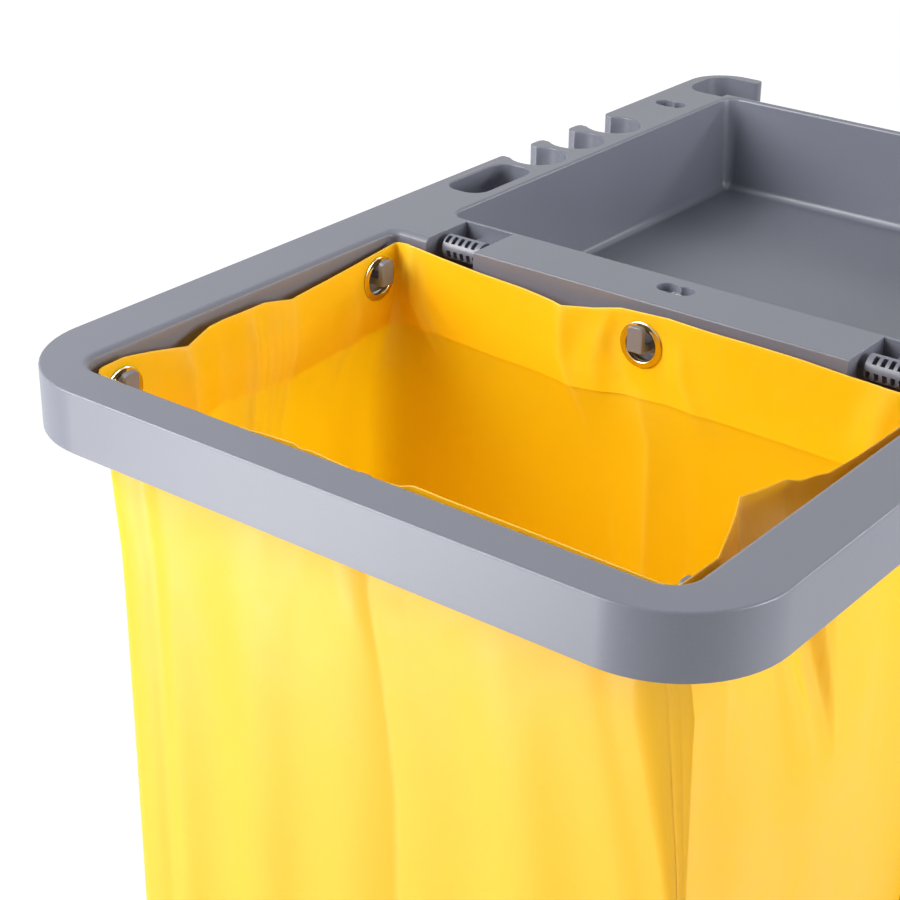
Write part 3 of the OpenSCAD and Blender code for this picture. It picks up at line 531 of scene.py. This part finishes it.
def setShapes(name, shape, places, slot, size=1.0):
    data = bpy.data.meshes.new(name)
    data.from_pydata([point for point, turn in places], [], [])
    turns = data.attributes.new("turn", "FLOAT_VECTOR", "POINT")
    turns.data.foreach_set("vector", [angle for point, turn in places for angle in turn])
    piece = bpy.data.objects.new(name, data)
    scene.collection.objects.link(piece)
    settings = {"Shape": shape, "Size": size, "Finish": finishes[slot]}
    copies = piece.modifiers.new("setCopies", "NODES")
    copies.node_group = setCopies
    for item in setCopies.interface.items_tree:
        if item.in_out == "INPUT" and item.name in settings:
            copies[item.identifier] = settings[item.name]
    plainMesh(piece)
    bpy.data.objects.remove(shape)
    evenShade(piece, sharpAngle=45)
    return piece


# Boxes of a node's separate solids, in millimetres
def solidBoxes(node):
    mesh = bmesh.new()
    mesh.from_mesh(frame["nodes"][node].data)
    bmesh.ops.remove_doubles(mesh, verts=mesh.verts, dist=touch)
    unseen, boxes = set(mesh.verts), []
    while unseen:
        group, waiting = set(), [unseen.pop()]
        while waiting:
            vert = waiting.pop()
            group.add(vert)
            near = {edge.other_vert(vert) for edge in vert.link_edges} & unseen
            unseen -= near
            waiting += near
        co = np.array([vert.co for vert in group]) / mm
        boxes.append((Vector(co.min(0)), Vector(co.max(0))))
    mesh.free()
    return boxes


# Pan-head screws with a cross recess
screw = {
    "headRadius": 5.0,
    "headHeight": 3.0,
    "shankRadius": 2.4,
    "rootShare": 0.82,  # the thread's root, as a share of the shank's radius
    "pitch": 1.6,
    "flank": 0.4,       # a thread's slope, as a share of the pitch
    "plain": 1.5,       # least length of the shank without thread, at each end
    "axis": 0.01,       # the outline stops this far from the axis
    "cross": (5.4, 1.2, 1.7),  # length, width and depth of the recess
    # The head's outline: shares of its radius, and heights
    "dome": [(0.97, 0.0), (1.0, 0.3), (1.0, 0.9), (0.93, 1.7), (0.76, 2.4), (0.5, 2.8), (0.25, 3.0)],
}
screwGroups = {
    "cross_bar_screw": ("screw_steel", "up"),
    "front_rail_screws": ("screw_steel", "up"),
    "tie_bar_screws": ("screw_steel", "out"),
    "post_foot_screws": ("screw_steel", "out"),
    "shelf_screws": ("screw_steel", "out"),
    "caster_plate_screws": ("zinc_steel", "down"),
}


def makeScrew(length):
    r, h, shank, pitch = screw["headRadius"], screw["headHeight"], screw["shankRadius"], screw["pitch"]
    dome = [(r * share, height) for share, height in screw["dome"]]
    root = shank * screw["rootShare"]
    thread = []
    for i in range(int((length - 2 * screw["plain"]) / pitch)):
        z = -screw["plain"] - i * pitch
        thread += [(root, z), (shank, z - pitch * screw["flank"]), (root, z - 2 * pitch * screw["flank"])]
    outline = [(screw["axis"], -length), *reversed(thread), (root, 0.0), *dome, (screw["axis"], h)]
    body = lathe("screwBody", outline, segments=40)
    slotLength, slotWidth, slotDepth = (size * mm for size in screw["cross"])
    slot = Matrix.Diagonal((slotLength, slotWidth, 2 * slotDepth, 1))
    cross = bmesh.new()
    for turn in (0, quarter):
        box = bmesh.ops.create_cube(cross, size=1.0, matrix=Matrix.Rotation(turn, 4, "Z") @ slot)
        bmesh.ops.translate(cross, verts=box["verts"], vec=(0, 0, h * mm))
    cutterData = bpy.data.meshes.new("screwCross")
    cross.to_mesh(cutterData)
    cross.free()
    cutter = bpy.data.objects.new("screwCross", cutterData)
    for part in (body, cutter):
        scene.collection.objects.link(part)
    recess = body.modifiers.new("recess", "BOOLEAN")
    recess.object, recess.operation, recess.use_self = cutter, "DIFFERENCE", True
    plainMesh(body)
    bpy.data.objects.remove(cutter)
    return body


def turnFor(direction, y):
    outwards = -quarter if y > 0 else quarter
    return {"up": (0, 0, 0), "down": (2 * quarter, 0, 0), "out": (outwards, 0, 0)}[direction]


def screwPlace(low, high, direction, headHeight):
    middle = (low + high) / 2
    if direction == "up":
        return Vector((middle.x, middle.y, high.z - headHeight))
    if direction == "down":
        return Vector((middle.x, middle.y, low.z + headHeight))
    return Vector((middle.x, high.y - headHeight if middle.y > 0 else low.y + headHeight, middle.z))


for nodeName, (slotName, direction) in screwGroups.items():
    boxes = solidBoxes(nodeName)
    low, high = boxes[0]
    size = (high.x - low.x) / 2 / screw["headRadius"]
    length = ((high.y - low.y) if direction == "out" else (high.z - low.z)) / size - screw["headHeight"]
    places = []
    for low, high in boxes:
        place = screwPlace(low, high, direction, screw["headHeight"] * size)
        places.append((place * mm, turnFor(direction, place.y)))
    screws = setShapes(nodeName + "_finished", makeScrew(length), places, slotName, size)
    givePlace(screws, slotName, bodyOf(nodeName), nodeName)
print("screws set:", len(screwGroups), "groups")

# Eyelets: a rolled flange on each face of the hem, joined by a barrel. The flanges' points are out from the
# hole and off the hem's face
eyelet = {
    "hole": 11.0,
    "grip": (0.6, 2.8),  # the hem's two faces
    "roll": 1.0,
    "neck": 0.9,
    "barrelFoot": 0.2,
    "front": [(0.1, -0.1), (0.4, 0.75), (1.2, 1.2), (2.1, 1.0), (2.7, 0.6), (3.4, 0.7), (4.4, 0.6),
              (5.0, 0.15), (4.7, 0.0)],
    "rear": [(4.7, 0.0), (5.0, -0.15), (4.5, -0.6), (3.3, -0.7), (1.4, -1.0), (0.4, -0.7)],
}


def eyeletOutline():
    hole, neck = eyelet["hole"], eyelet["hole"] + eyelet["neck"]
    back, front = eyelet["grip"]
    barrel = [(hole, back + eyelet["barrelFoot"]), (hole, (back + front) / 2)]
    face = [(hole + out, front + off) for out, off in eyelet["front"]]
    rear = [(hole + out, back + off) for out, off in eyelet["rear"]]
    return [*barrel, *face, (neck, front), (neck, back), *rear]


eyeletPlaces = []
for low, high in solidBoxes("bag_eyelets"):
    middle = (low + high) / 2
    alongX = high.x - low.x < high.y - low.y
    if alongX and middle.x < (top["mouthX"][0] + top["mouthX"][1]) / 2:
        eyeletPlaces.append((Vector((low.x + eyelet["roll"], middle.y, middle.z)) * mm, (0, quarter, 0)))
    elif alongX:
        eyeletPlaces.append((Vector((high.x - eyelet["roll"], middle.y, middle.z)) * mm, (0, -quarter, 0)))
    elif middle.y > 0:
        eyeletPlaces.append((Vector((middle.x, high.y - eyelet["roll"], middle.z)) * mm, (quarter, 0, 0)))
    else:
        eyeletPlaces.append((Vector((middle.x, low.y + eyelet["roll"], middle.z)) * mm, (-quarter, 0, 0)))
eyeletRing = lathe("eyeletRing", eyeletOutline(), segments=64)
eyelets = setShapes("bagEyelets", eyeletRing, eyeletPlaces, "eyelet_metal")
givePlace(eyelets, "eyelet_metal", "root", "bag_eyelets")
print("eyelets set:", len(eyeletPlaces))

# The waste bag: a welded vinyl sack, its hem folded inwards, hung by its eyelets.
# Walls are near (-X), right (-Y), far (+X) and left (+Y). A place along a wall is its x or y in millimetres
bag = {
    "hem": bagHem,
    "outerInset": 1.1,   # middle of the outer ply, in from the bag's outside
    "innerInset": 2.3,   # middle of the hem's inner ply
    "creaseRound": 2.0,  # the near right corner is a flat strip between a soft bend and a crease
    "bendTurn": 33.0,    # degrees turned at the soft bend
    "footRound": 16.0,
    "footDepth": 90.0,   # height above the floor over which the folds die out
    "pitch": 2.5,        # between columns on the walls
    "arcColumns": 10,    # at least, on each corner
    "stripColumns": 26,  # on the near right corner's strip
    "hemRows": 18,
    "upperRows": 34,
    "lowerRows": 50,
    "upperDepth": 130.0,  # where the rows become sparser
    "eyeletHole": 12.3,
    "eyeletCalm": 32.0,   # distance from an eyelet's middle where the folds begin to die out
    "eyeletCore": 0.5,    # least distance from an eyelet's middle when its hole is opened
    "hemMargin": 1.0,     # below the hem, still opened by an eyelet's hole
    "leanDepth": 190.0,
    "riseDepth": 130.0,
    "swell": 18.0,        # how far the right side swells out below the rail
    "paleBend": 0.05,     # bend, per millimetre, that turns the vinyl fully pale
    "flat": (1390.0, 985.0),  # the tube's girth, and its height with the hem and half the floor
}
# Small waves round the bag: how many, how high, and their slants and phases drawn by chance
ripples = {"seed": 11, "waves": range(4, 22), "height": 1.1, "slant": 0.006, "depths": (20.0, 160.0)}
# The corners' radii, the near right corner's strip and the share of the swell, at depths below the edge
nearRound = [(0, 10), (120, 22), (767, 20)]
farRound = {"left": [(0, 5), (38, 5), (90, 34), (300, 32), (767, 18)], "right": [(0, 5), (767, 5)]}
cornerStrip = [(0, 9), (30, 10), (60, 26), (79, 28), (122, 21), (167, 14), (204, 9), (767, 7)]
bendRound = [(0, 2), (30, 3), (70, 26), (122, 18), (204, 8), (767, 6)]
swellShare = [(28, 0), (79, 0.42), (122, 0.6), (167, 0.8), (204, 0.93), (300, 1), (450, 0.9), (700, 0)]
# Rise of the top edge above its level, at places along each wall
edgeRise = {
    "near": [(-190, 3), (-60, 3), (-38, 3.5), (-30, 1), (0, 0.8), (10, 2.2), (32, 3), (41, 1.5), (47, 3),
             (68, 2.2), (93, 0), (120, -1), (150, 0), (180, 1)],
    "right": [(-500, 3), (-470, 2), (-424, 0), (-390, 0), (-383, -2), (-374, 0), (-320, 1), (-263, 3)],
    "far": [(-200, 0), (-150, 1.5), (-114, 3.5), (-85, 4), (-45, 4), (-20, 4.5), (18, 2.5), (38, -2),
            (60, -5), (70, -3.7), (92, -2), (130, -1), (168, 1.5), (195, 4)],
    "left": [(-250, 2), (-286, -1), (-327, -3), (-359, -4.6), (-371, -2), (-384, 0.6), (-403, 0.4),
             (-420, 1), (-435, 0.7), (-456, -5.6), (-485, -0.4), (-507, 2.9)],
}
# How far the top edge leans into the bag
edgeLean = {
    "near": [(-190, 0), (-120, 2), (-40, 3), (-15, 0), (15, 0), (45, 2), (110, 1), (180, 0)],
    "right": [(-492, 0), (-458, 13), (-423, 27.5), (-404, 23), (-386, 19.5), (-382, 14.5), (-368, 5.5),
              (-343, 3), (-300, 1), (-275, 0)],
    "far": [(-200, 0), (-150, 1), (-60, 1.5), (-16, 0), (16, 0), (30, 1.5), (60, 5), (110, 3), (180, 1),
            (200, 0)],
    "left": [(-250, 0), (-278, 0), (-320, 2), (-359, 3), (-400, 2), (-456, 3.5), (-485, 1), (-507, 0)],
}
# Where a fold comes in and goes, and how much narrower a tuck's steep side is
foldEnds = {
    "comesWithin": 15.0,  # of its first depth, above and below
    "goesFrom": 0.7,      # of its last depth
    "goneAfter": 20.0,    # below its last depth
    "tuckSide": 8.0,
}
# Folds: wall, place, depth inwards, width, first and last depth below the edge, drift along the wall on the
# way down, kind
folds = [
    ("near", -12, 3.5, 22, 25, 700, -3, "crease"),
    ("near", 8, -1.5, 14, 30, 130, -10, "soft"),
    ("near", 176, 2.0, 9, 30, 720, 0, "soft"),
    ("near", -203.2, 0.8, 0.5, 30, 330, -1.2, "crease"),
    ("near", -205.4, 0.5, 0.4, 30, 200, -1.6, "crease"),
    ("near", -186, 1.2, 12, 40, 420, -6, "soft"),
    ("far", 9, 3.2, 15, 60, 700, 2, "crease"),
    ("far", 26, 2.4, 11, 8, 60, 16, "soft"),
    ("far", -26, 1.6, 10, 16, 70, -10, "soft"),
    ("far", 60, 2.4, 16, 0, 75, 0, "crease"),
    ("far", -176, 2.6, 10, 4, 50, 12, "soft"),
    ("far", 192, 3.0, 6, 6, 70, -4, "soft"),
    ("left", -456, 3.5, 8, 6, 130, 6, "crease"),
    ("left", -424, -1.6, 12, 8, 100, 0, "soft"),
    ("left", -396, 3.0, 5, 10, 220, 4, "crease"),
    ("left", -388, 1.6, 4, 20, 150, 5, "crease"),
    ("left", -374, 2.0, 6, 10, 160, 0, "crease"),
    ("left", -357, 2.4, 8, 6, 120, -6, "crease"),
    ("left", -286, 1.8, 9, 20, 90, -8, "soft"),
    ("right", -423, 3.0, 9, 0, 40, 4, "crease"),
    ("right", -388, 6.0, 34, 40, 160, 14, "tuck"),
    ("right", -400, 1.4, 4, 50, 180, 14, "crease"),
    ("right", -410, 1.0, 4, 60, 160, 12, "crease"),
    ("right", -394, 1.1, 3.5, 90, 190, 16, "crease"),
    ("right", -318, 1.0, 7, 130, 240, -10, "soft"),
]
# The left wall's middle line, drawn inwards from corner to corner
gusset = {"at": -389.0, "reach": 8.0, "half": 150.0, "begins": (30.0, 150.0), "ends": (420.0, 730.0)}


def byDepth(table, depth):
    return np.interp(depth, *zip(*table))


# Straight walls and round corners of the bag's outline, counter-clockwise from the near wall's left end.
# A wall is its start, heading and length. A corner is its centre, first outward angle, turn and radius
def bagPlan(low, high, depth):
    near, strip, bend = (byDepth(table, depth) for table in (nearRound, cornerStrip, bendRound))
    farLeft, farRight = (byDepth(farRound[side], depth) for side in ("left", "right"))
    right = low.y - bag["swell"] * byDepth(swellShare, depth)
    tight, turn = bag["creaseRound"], math.radians(bag["bendTurn"])
    first, second = bend * math.tan(turn / 2), tight * math.tan((quarter - turn) / 2)
    along = (math.sin(turn), -math.cos(turn))
    start = (low.x + first * along[0], right + strip * math.cos(turn) + first * along[1])
    wallEnd = right + strip * math.cos(turn) + first
    wallStart = low.x + strip * math.sin(turn) + second
    return [
        ("near", (low.x, high.y - near), (0, -1), high.y - near - wallEnd, 0),
        ("", (low.x + bend, wallEnd), 2 * quarter, turn, bend),
        ("strip", start, along, strip - first - second, 0),
        ("", (wallStart, right + tight), 2 * quarter + turn, quarter - turn, tight),
        ("right", (wallStart, right), (1, 0), high.x - farRight - wallStart, 0),
        ("", (high.x - farRight, right + farRight), 3 * quarter, quarter, farRight),
        ("far", (high.x, right + farRight), (0, 1), high.y - right - farLeft - farRight, 0),
        ("", (high.x - farLeft, high.y - farLeft), 0.0, quarter, farLeft),
        ("left", (high.x - farLeft, high.y), (-1, 0), high.x - farLeft - low.x - near, 0),
        ("", (low.x + near, high.y - near), quarter, quarter, near),
    ]


# Points and outward directions on an outline, for spots given as a run and a share of it
def planPoints(runs, spotRun, spotShare):
    points, outward = np.zeros((len(spotRun), 2)), np.zeros((len(spotRun), 2))
    for k, (wall, start, heading, extent, radius) in enumerate(runs):
        here = spotRun == k
        share = spotShare[here, None]
        if wall:
            points[here] = np.array(start) + share * extent * np.array(heading)
            outward[here] = heading[1], -heading[0]
        else:
            turn = heading + share * extent
            outward[here] = np.hstack([np.cos(turn), np.sin(turn)])
            points[here] = np.array(start) + radius * outward[here]
    return points, outward


def smoothStep(low, high, value):
    share = np.clip((value - low) / (high - low), 0, 1)
    return share * share * (3 - 2 * share)


def wallAt(at, low, high):
    gaps = {"near": at[0] - low.x, "far": high.x - at[0], "right": at[1] - low.y, "left": high.y - at[1]}
    wall = min(gaps, key=gaps.get)
    return wall, at[1] if wall in ("near", "far") else at[0]


# Rows of the bag from the hem's lower edge, over the fold and down to the floor: depth and inset of each
def bagRows(height):
    foot, fold = bag["footRound"], (bag["innerInset"] - bag["outerInset"]) / 2
    bend, turn = np.radians([30, 60, 90, 120, 150]), np.radians([22, 45, 68, 90])
    hem = np.linspace(bag["hem"], fold, bag["hemRows"])
    upper = np.linspace(fold, bag["upperDepth"], bag["upperRows"])
    lower = np.linspace(bag["upperDepth"], height - foot, bag["lowerRows"])[1:]
    depth = np.concatenate([
        hem, fold - fold * np.sin(bend), upper, lower, height - foot + foot * np.sin(turn)])
    inset = np.concatenate([
        np.full(len(hem), bag["innerInset"]), bag["outerInset"] + fold + fold * np.cos(bend),
        np.full(len(upper) + len(lower), bag["outerInset"]), bag["outerInset"] + foot * (1 - np.cos(turn))])
    return depth, inset


def makeBag():
    low, high = (Vector(corner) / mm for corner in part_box("waste_bag"))
    height = high.z - low.z
    brim = bagPlan(low, high, 0)
    walls, starts, headings, extents, radii = zip(*brim)
    lengths = np.array([extent * (radius or 1) for extent, radius in zip(extents, radii)])
    ends = np.cumsum(lengths)
    girth = ends[-1]
    fewest = [bag["stripColumns" if wall == "strip" else "arcColumns"] for wall in walls]
    columns = [max(round(length / bag["pitch"]), least) for length, least in zip(lengths, fewest)]
    spotRun = np.repeat(np.arange(len(brim)), columns)
    spotShare = np.concatenate([np.arange(count) / count for count in columns])
    s = ends[spotRun] - (1 - spotShare) * lengths[spotRun]

    def placeOf(wall, at):
        k = walls.index(wall)
        (x, y), (alongX, alongY) = starts[k], headings[k]
        return (ends[k] - lengths[k] + (at - x) * alongX + (at - y) * alongY) % girth

    def away(place):
        return (s - place + girth / 2) % girth - girth / 2

    def spread(table):
        known = sorted((placeOf(wall, at), value) for wall, row in table.items() for at, value in row)
        return np.interp(s, *zip(*known), period=girth)

    depth, inset = bagRows(height)
    t = depth[:, None]
    z = high.z + spread(edgeRise) * (1 - smoothStep(0, bag["riseDepth"], t)) - t
    drawn = spread(edgeLean) * (1 - smoothStep(0, bag["leanDepth"], t))
    tent = np.clip(1 - np.abs(away(placeOf("left", gusset["at"]))) / gusset["half"], 0, 1)
    begun, ended = smoothStep(*gusset["begins"], t), smoothStep(*gusset["ends"], t)
    drawn = drawn + gusset["reach"] * tent * begun * (1 - ended)
    for wall, at, reach, width, first, last, drift, kind in folds:
        share = np.clip((t - first) / (last - first), 0, 1)
        way = 1 if wall in ("right", "far") else -1
        d = away(placeOf(wall, at) + way * drift * share)
        steep = width / foldEnds["tuckSide"]
        shape = {
            "crease": np.exp(-np.abs(d) / width),
            "soft": np.exp(-(d / width) ** 2),
            "tuck": np.where(d < 0, smoothStep(-width, 0, d), 1 - smoothStep(0, steep, d)),
        }[kind]
        begun = smoothStep(first - foldEnds["comesWithin"], first + foldEnds["comesWithin"], t)
        ended = smoothStep(last * foldEnds["goesFrom"], last + foldEnds["goneAfter"], t)
        drawn = drawn + reach * shape * begun * (1 - ended)
    chance = np.random.default_rng(ripples["seed"])
    for waves in ripples["waves"]:
        phase, slope = chance.uniform(0, 2 * math.pi), chance.uniform(-ripples["slant"], ripples["slant"])
        ripple = np.sin(2 * math.pi * waves * s / girth + phase + slope * t)
        drawn = drawn + ripples["height"] / waves ** 0.5 * ripple * smoothStep(*ripples["depths"], t)
    drawn = drawn * smoothStep(0, bag["footDepth"], height - t)  # the foot stays true, standing on the deck
    holes = []
    for point, turns in eyeletPlaces:
        at = np.array(point) / mm
        holes.append((away(placeOf(*wallAt(at, low, high))), at[2]))
    for along, level in holes:
        drawn = drawn * smoothStep(bag["eyeletHole"], bag["eyeletCalm"], np.hypot(along, z - level))
    plans = [planPoints(bagPlan(low, high, d), spotRun, spotShare) for d in depth]
    points, outward = (np.array(part) for part in zip(*plans))
    facesShelf = outward[:, :, 0] > 0.5
    drawn = np.where(facesShelf & (drawn < 0), 0, drawn)  # nothing swells into the shelf behind
    offset = inset[:, None] + drawn
    shell = np.dstack([points - offset[:, :, None] * outward, z])
    bent = np.abs(np.gradient(np.gradient(drawn, s, axis=1), s, axis=1))
    cut = np.zeros(z.shape, bool)
    for along, level in holes:
        up = shell[:, :, 2] - level
        r = np.hypot(along, up)
        inside = (r < bag["eyeletHole"]) & (t < bag["hem"] + bag["hemMargin"])
        grow = np.where(inside, bag["eyeletHole"] / np.maximum(r, bag["eyeletCore"]) - 1, 0)
        shell[:, :, 0] -= grow * along * outward[:, :, 1]
        shell[:, :, 1] += grow * along * outward[:, :, 0]
        shell[:, :, 2] += grow * up
        cut |= inside
    return sackFrom(shell, cut, np.clip(bent / bag["paleBend"], 0, 1), s, girth, depth, inset)


# The bag's mesh from its rows of points, its eyelet holes left open, with a floor and flat cloth coordinates
def sackFrom(shell, cut, crease, s, girth, depth, inset):
    rows, count = cut.shape
    centre = shell[-1].mean(0)
    floorShares = (0.86, 0.7, 0.52, 0.34, 0.16, 0.04)
    floor = [centre + (shell[-1] - centre) * share for share in floorShares]
    verts = np.concatenate([shell.reshape(-1, 3), *floor, centre[None]])
    walked = np.concatenate([[0], np.cumsum(np.hypot(np.diff(depth), np.diff(inset)))])
    halfFloor = np.linalg.norm(shell[-1] - centre, axis=1).mean()
    walked = np.concatenate([walked, [walked[-1] + (1 - share) * halfFloor for share in floorShares]])
    total = len(walked)
    around = np.append(s, girth)
    index = np.arange(total * count).reshape(total, count)
    faces, coords = [], []
    for i in range(total - 1):
        for j in range(count):
            k = (j + 1) % count
            if i < rows - 1 and cut[i, j] and cut[i, k] and cut[i + 1, j] and cut[i + 1, k]:
                continue
            faces.append([index[i, j], index[i + 1, j], index[i + 1, k], index[i, k]])
            coords += [(around[j], walked[i]), (around[j], walked[i + 1])]
            coords += [(around[j + 1], walked[i + 1]), (around[j + 1], walked[i])]
    lastStep = 5.0  # of the cloth coordinates, to the floor's middle
    for j in range(count):
        faces.append([index[-1, j], total * count, index[-1, (j + 1) % count]])
        coords += [(around[j], walked[-1]), (around[j], walked[-1] + lastStep), (around[j + 1], walked[-1])]
    data = bpy.data.meshes.new("wasteBag")
    data.from_pydata((verts * mm).tolist(), [], [[int(corner) for corner in face] for face in faces])
    cloth = data.uv_layers.new(name="cloth")
    cloth.data.foreach_set("uv", (np.array(coords) * mm).ravel().astype(np.float32))
    worn = np.concatenate([crease.ravel(), np.zeros(len(verts) - rows * count)])
    data.attributes.new("crease", "FLOAT", "POINT").data.foreach_set("value", worn.astype(np.float32))
    mesh = bmesh.new()
    mesh.from_mesh(data)
    bmesh.ops.delete(mesh, geom=[vert for vert in mesh.verts if not vert.link_faces], context="VERTS")
    mesh.to_mesh(data)
    mesh.free()
    for face in data.polygons:
        face.use_smooth = True
    return bpy.data.objects.new("wasteBag", data)


sack = makeBag()
givePlace(sack, "yellow_vinyl", "root", "waste_bag")
print("bag made:", len(sack.data.polygons), "faces")

# Floor and light. The floor mostly glows where it is seen, more with the distance
stage = {
    "floor": 14.0,
    "floorTone": "#F2F2F2",
    "shadowShare": 0.3,       # of the floor's tone, that takes light and shadow
    "glowFrom": (0.8, 0.84),  # metres from the middle, and the glow there
    "glowTo": (2.6, 0.99),
    "ambient": 0.06,
}
softboxes = {  # place and aim in metres, size in metres, power in watts
    "lowLeft": ((-1.8, 0.9, 0.4), (-0.55, 0.0, 0.85), 0.75, 14),
    "keyLeft": ((-1.75, 1.2, 1.9), (-0.45, 0.0, 0.9), 1.2, 46),
    "overhead": ((-1.2, 1.0, 2.6), (-0.4, 0.0, 0.9), 1.2, 15),
    "sideRight": ((0.1, -1.9, 1.3), (-0.3, 0.0, 0.8), 0.9, 31),
    "rimRight": ((1.5, -1.3, 1.75), (-0.3, -0.2, 0.98), 0.3, 10),
}


# 1 for rays that show the background, straight, in a gloss or through a piece, and 0 for those that light it
def seenRay(tree):
    path = addNode(tree, "ShaderNodeLightPath")
    gloss = addNode(tree, "ShaderNodeMath", {
        0: path.outputs["Is Camera Ray"], 1: path.outputs["Is Glossy Ray"]}, operation="MAXIMUM")
    return addNode(tree, "ShaderNodeMath", {
        0: gloss.outputs[0], 1: path.outputs["Is Transmission Ray"]}, operation="MAXIMUM").outputs[0]


def paleFloor():
    finish = bpy.data.materials.new("paleFloor")
    finish.use_nodes = True
    tree = finish.node_tree
    tree.nodes.clear()
    tone = linear(stage["floorTone"])
    plain = addNode(tree, "ShaderNodeBsdfDiffuse", {"Color": tone})
    shaded = addNode(tree, "ShaderNodeBsdfDiffuse", {
        "Color": [*(c * stage["shadowShare"] for c in tone[:3]), 1.0]})
    away = addNode(tree, "ShaderNodeVectorMath", {
        0: addNode(tree, "ShaderNodeTexCoord").outputs["Object"]}, operation="LENGTH")
    (nearest, dim), (farthest, full) = stage["glowFrom"], stage["glowTo"]
    fade = addNode(tree, "ShaderNodeMapRange", {
        "Value": away.outputs["Value"], "From Min": nearest, "From Max": farthest,
        "To Min": dim, "To Max": full})
    lit = addNode(tree, "ShaderNodeEmission", {"Strength": fade.outputs[0]})
    bright = addNode(tree, "ShaderNodeAddShader", {0: shaded.outputs[0], 1: lit.outputs[0]})
    mixed = addNode(tree, "ShaderNodeMixShader", {
        0: seenRay(tree), 1: plain.outputs[0], 2: bright.outputs[0]})
    addNode(tree, "ShaderNodeOutputMaterial", {"Surface": mixed.outputs[0]})
    return finish


def makeStage():
    data = bpy.data.meshes.new("studioFloor")
    reach = stage["floor"] / 2
    corners = [(-reach, -reach, 0), (reach, -reach, 0), (reach, reach, 0), (-reach, reach, 0)]
    data.from_pydata(corners, [], [(0, 1, 2, 3)])
    data.materials.append(paleFloor())
    floor = bpy.data.objects.new("studioFloor", data)
    scene.collection.objects.link(floor)
    world = bpy.data.worlds.new("studio")
    world.use_nodes = True
    tree = world.node_tree
    tree.nodes.clear()
    fill = addNode(tree, "ShaderNodeBackground", {"Color": (1, 1, 1, 1), "Strength": stage["ambient"]})
    white = addNode(tree, "ShaderNodeBackground", {"Color": (1, 1, 1, 1), "Strength": 1.0})
    mixed = addNode(tree, "ShaderNodeMixShader", {
        0: seenRay(tree), 1: fill.outputs[0], 2: white.outputs[0]})
    addNode(tree, "ShaderNodeOutputWorld", {"Surface": mixed.outputs[0]})
    scene.world = world
    for name, (place, aim, size, power) in softboxes.items():
        lamp = bpy.data.lights.new(name, "AREA")
        lamp.size, lamp.energy = size, power
        box = bpy.data.objects.new(name, lamp)
        box.location = place
        box.rotation_euler = (Vector(aim) - Vector(place)).to_track_quat("-Z", "Y").to_euler()
        box.visible_camera = False
        scene.collection.objects.link(box)


makeStage()
print("stage and lights set")
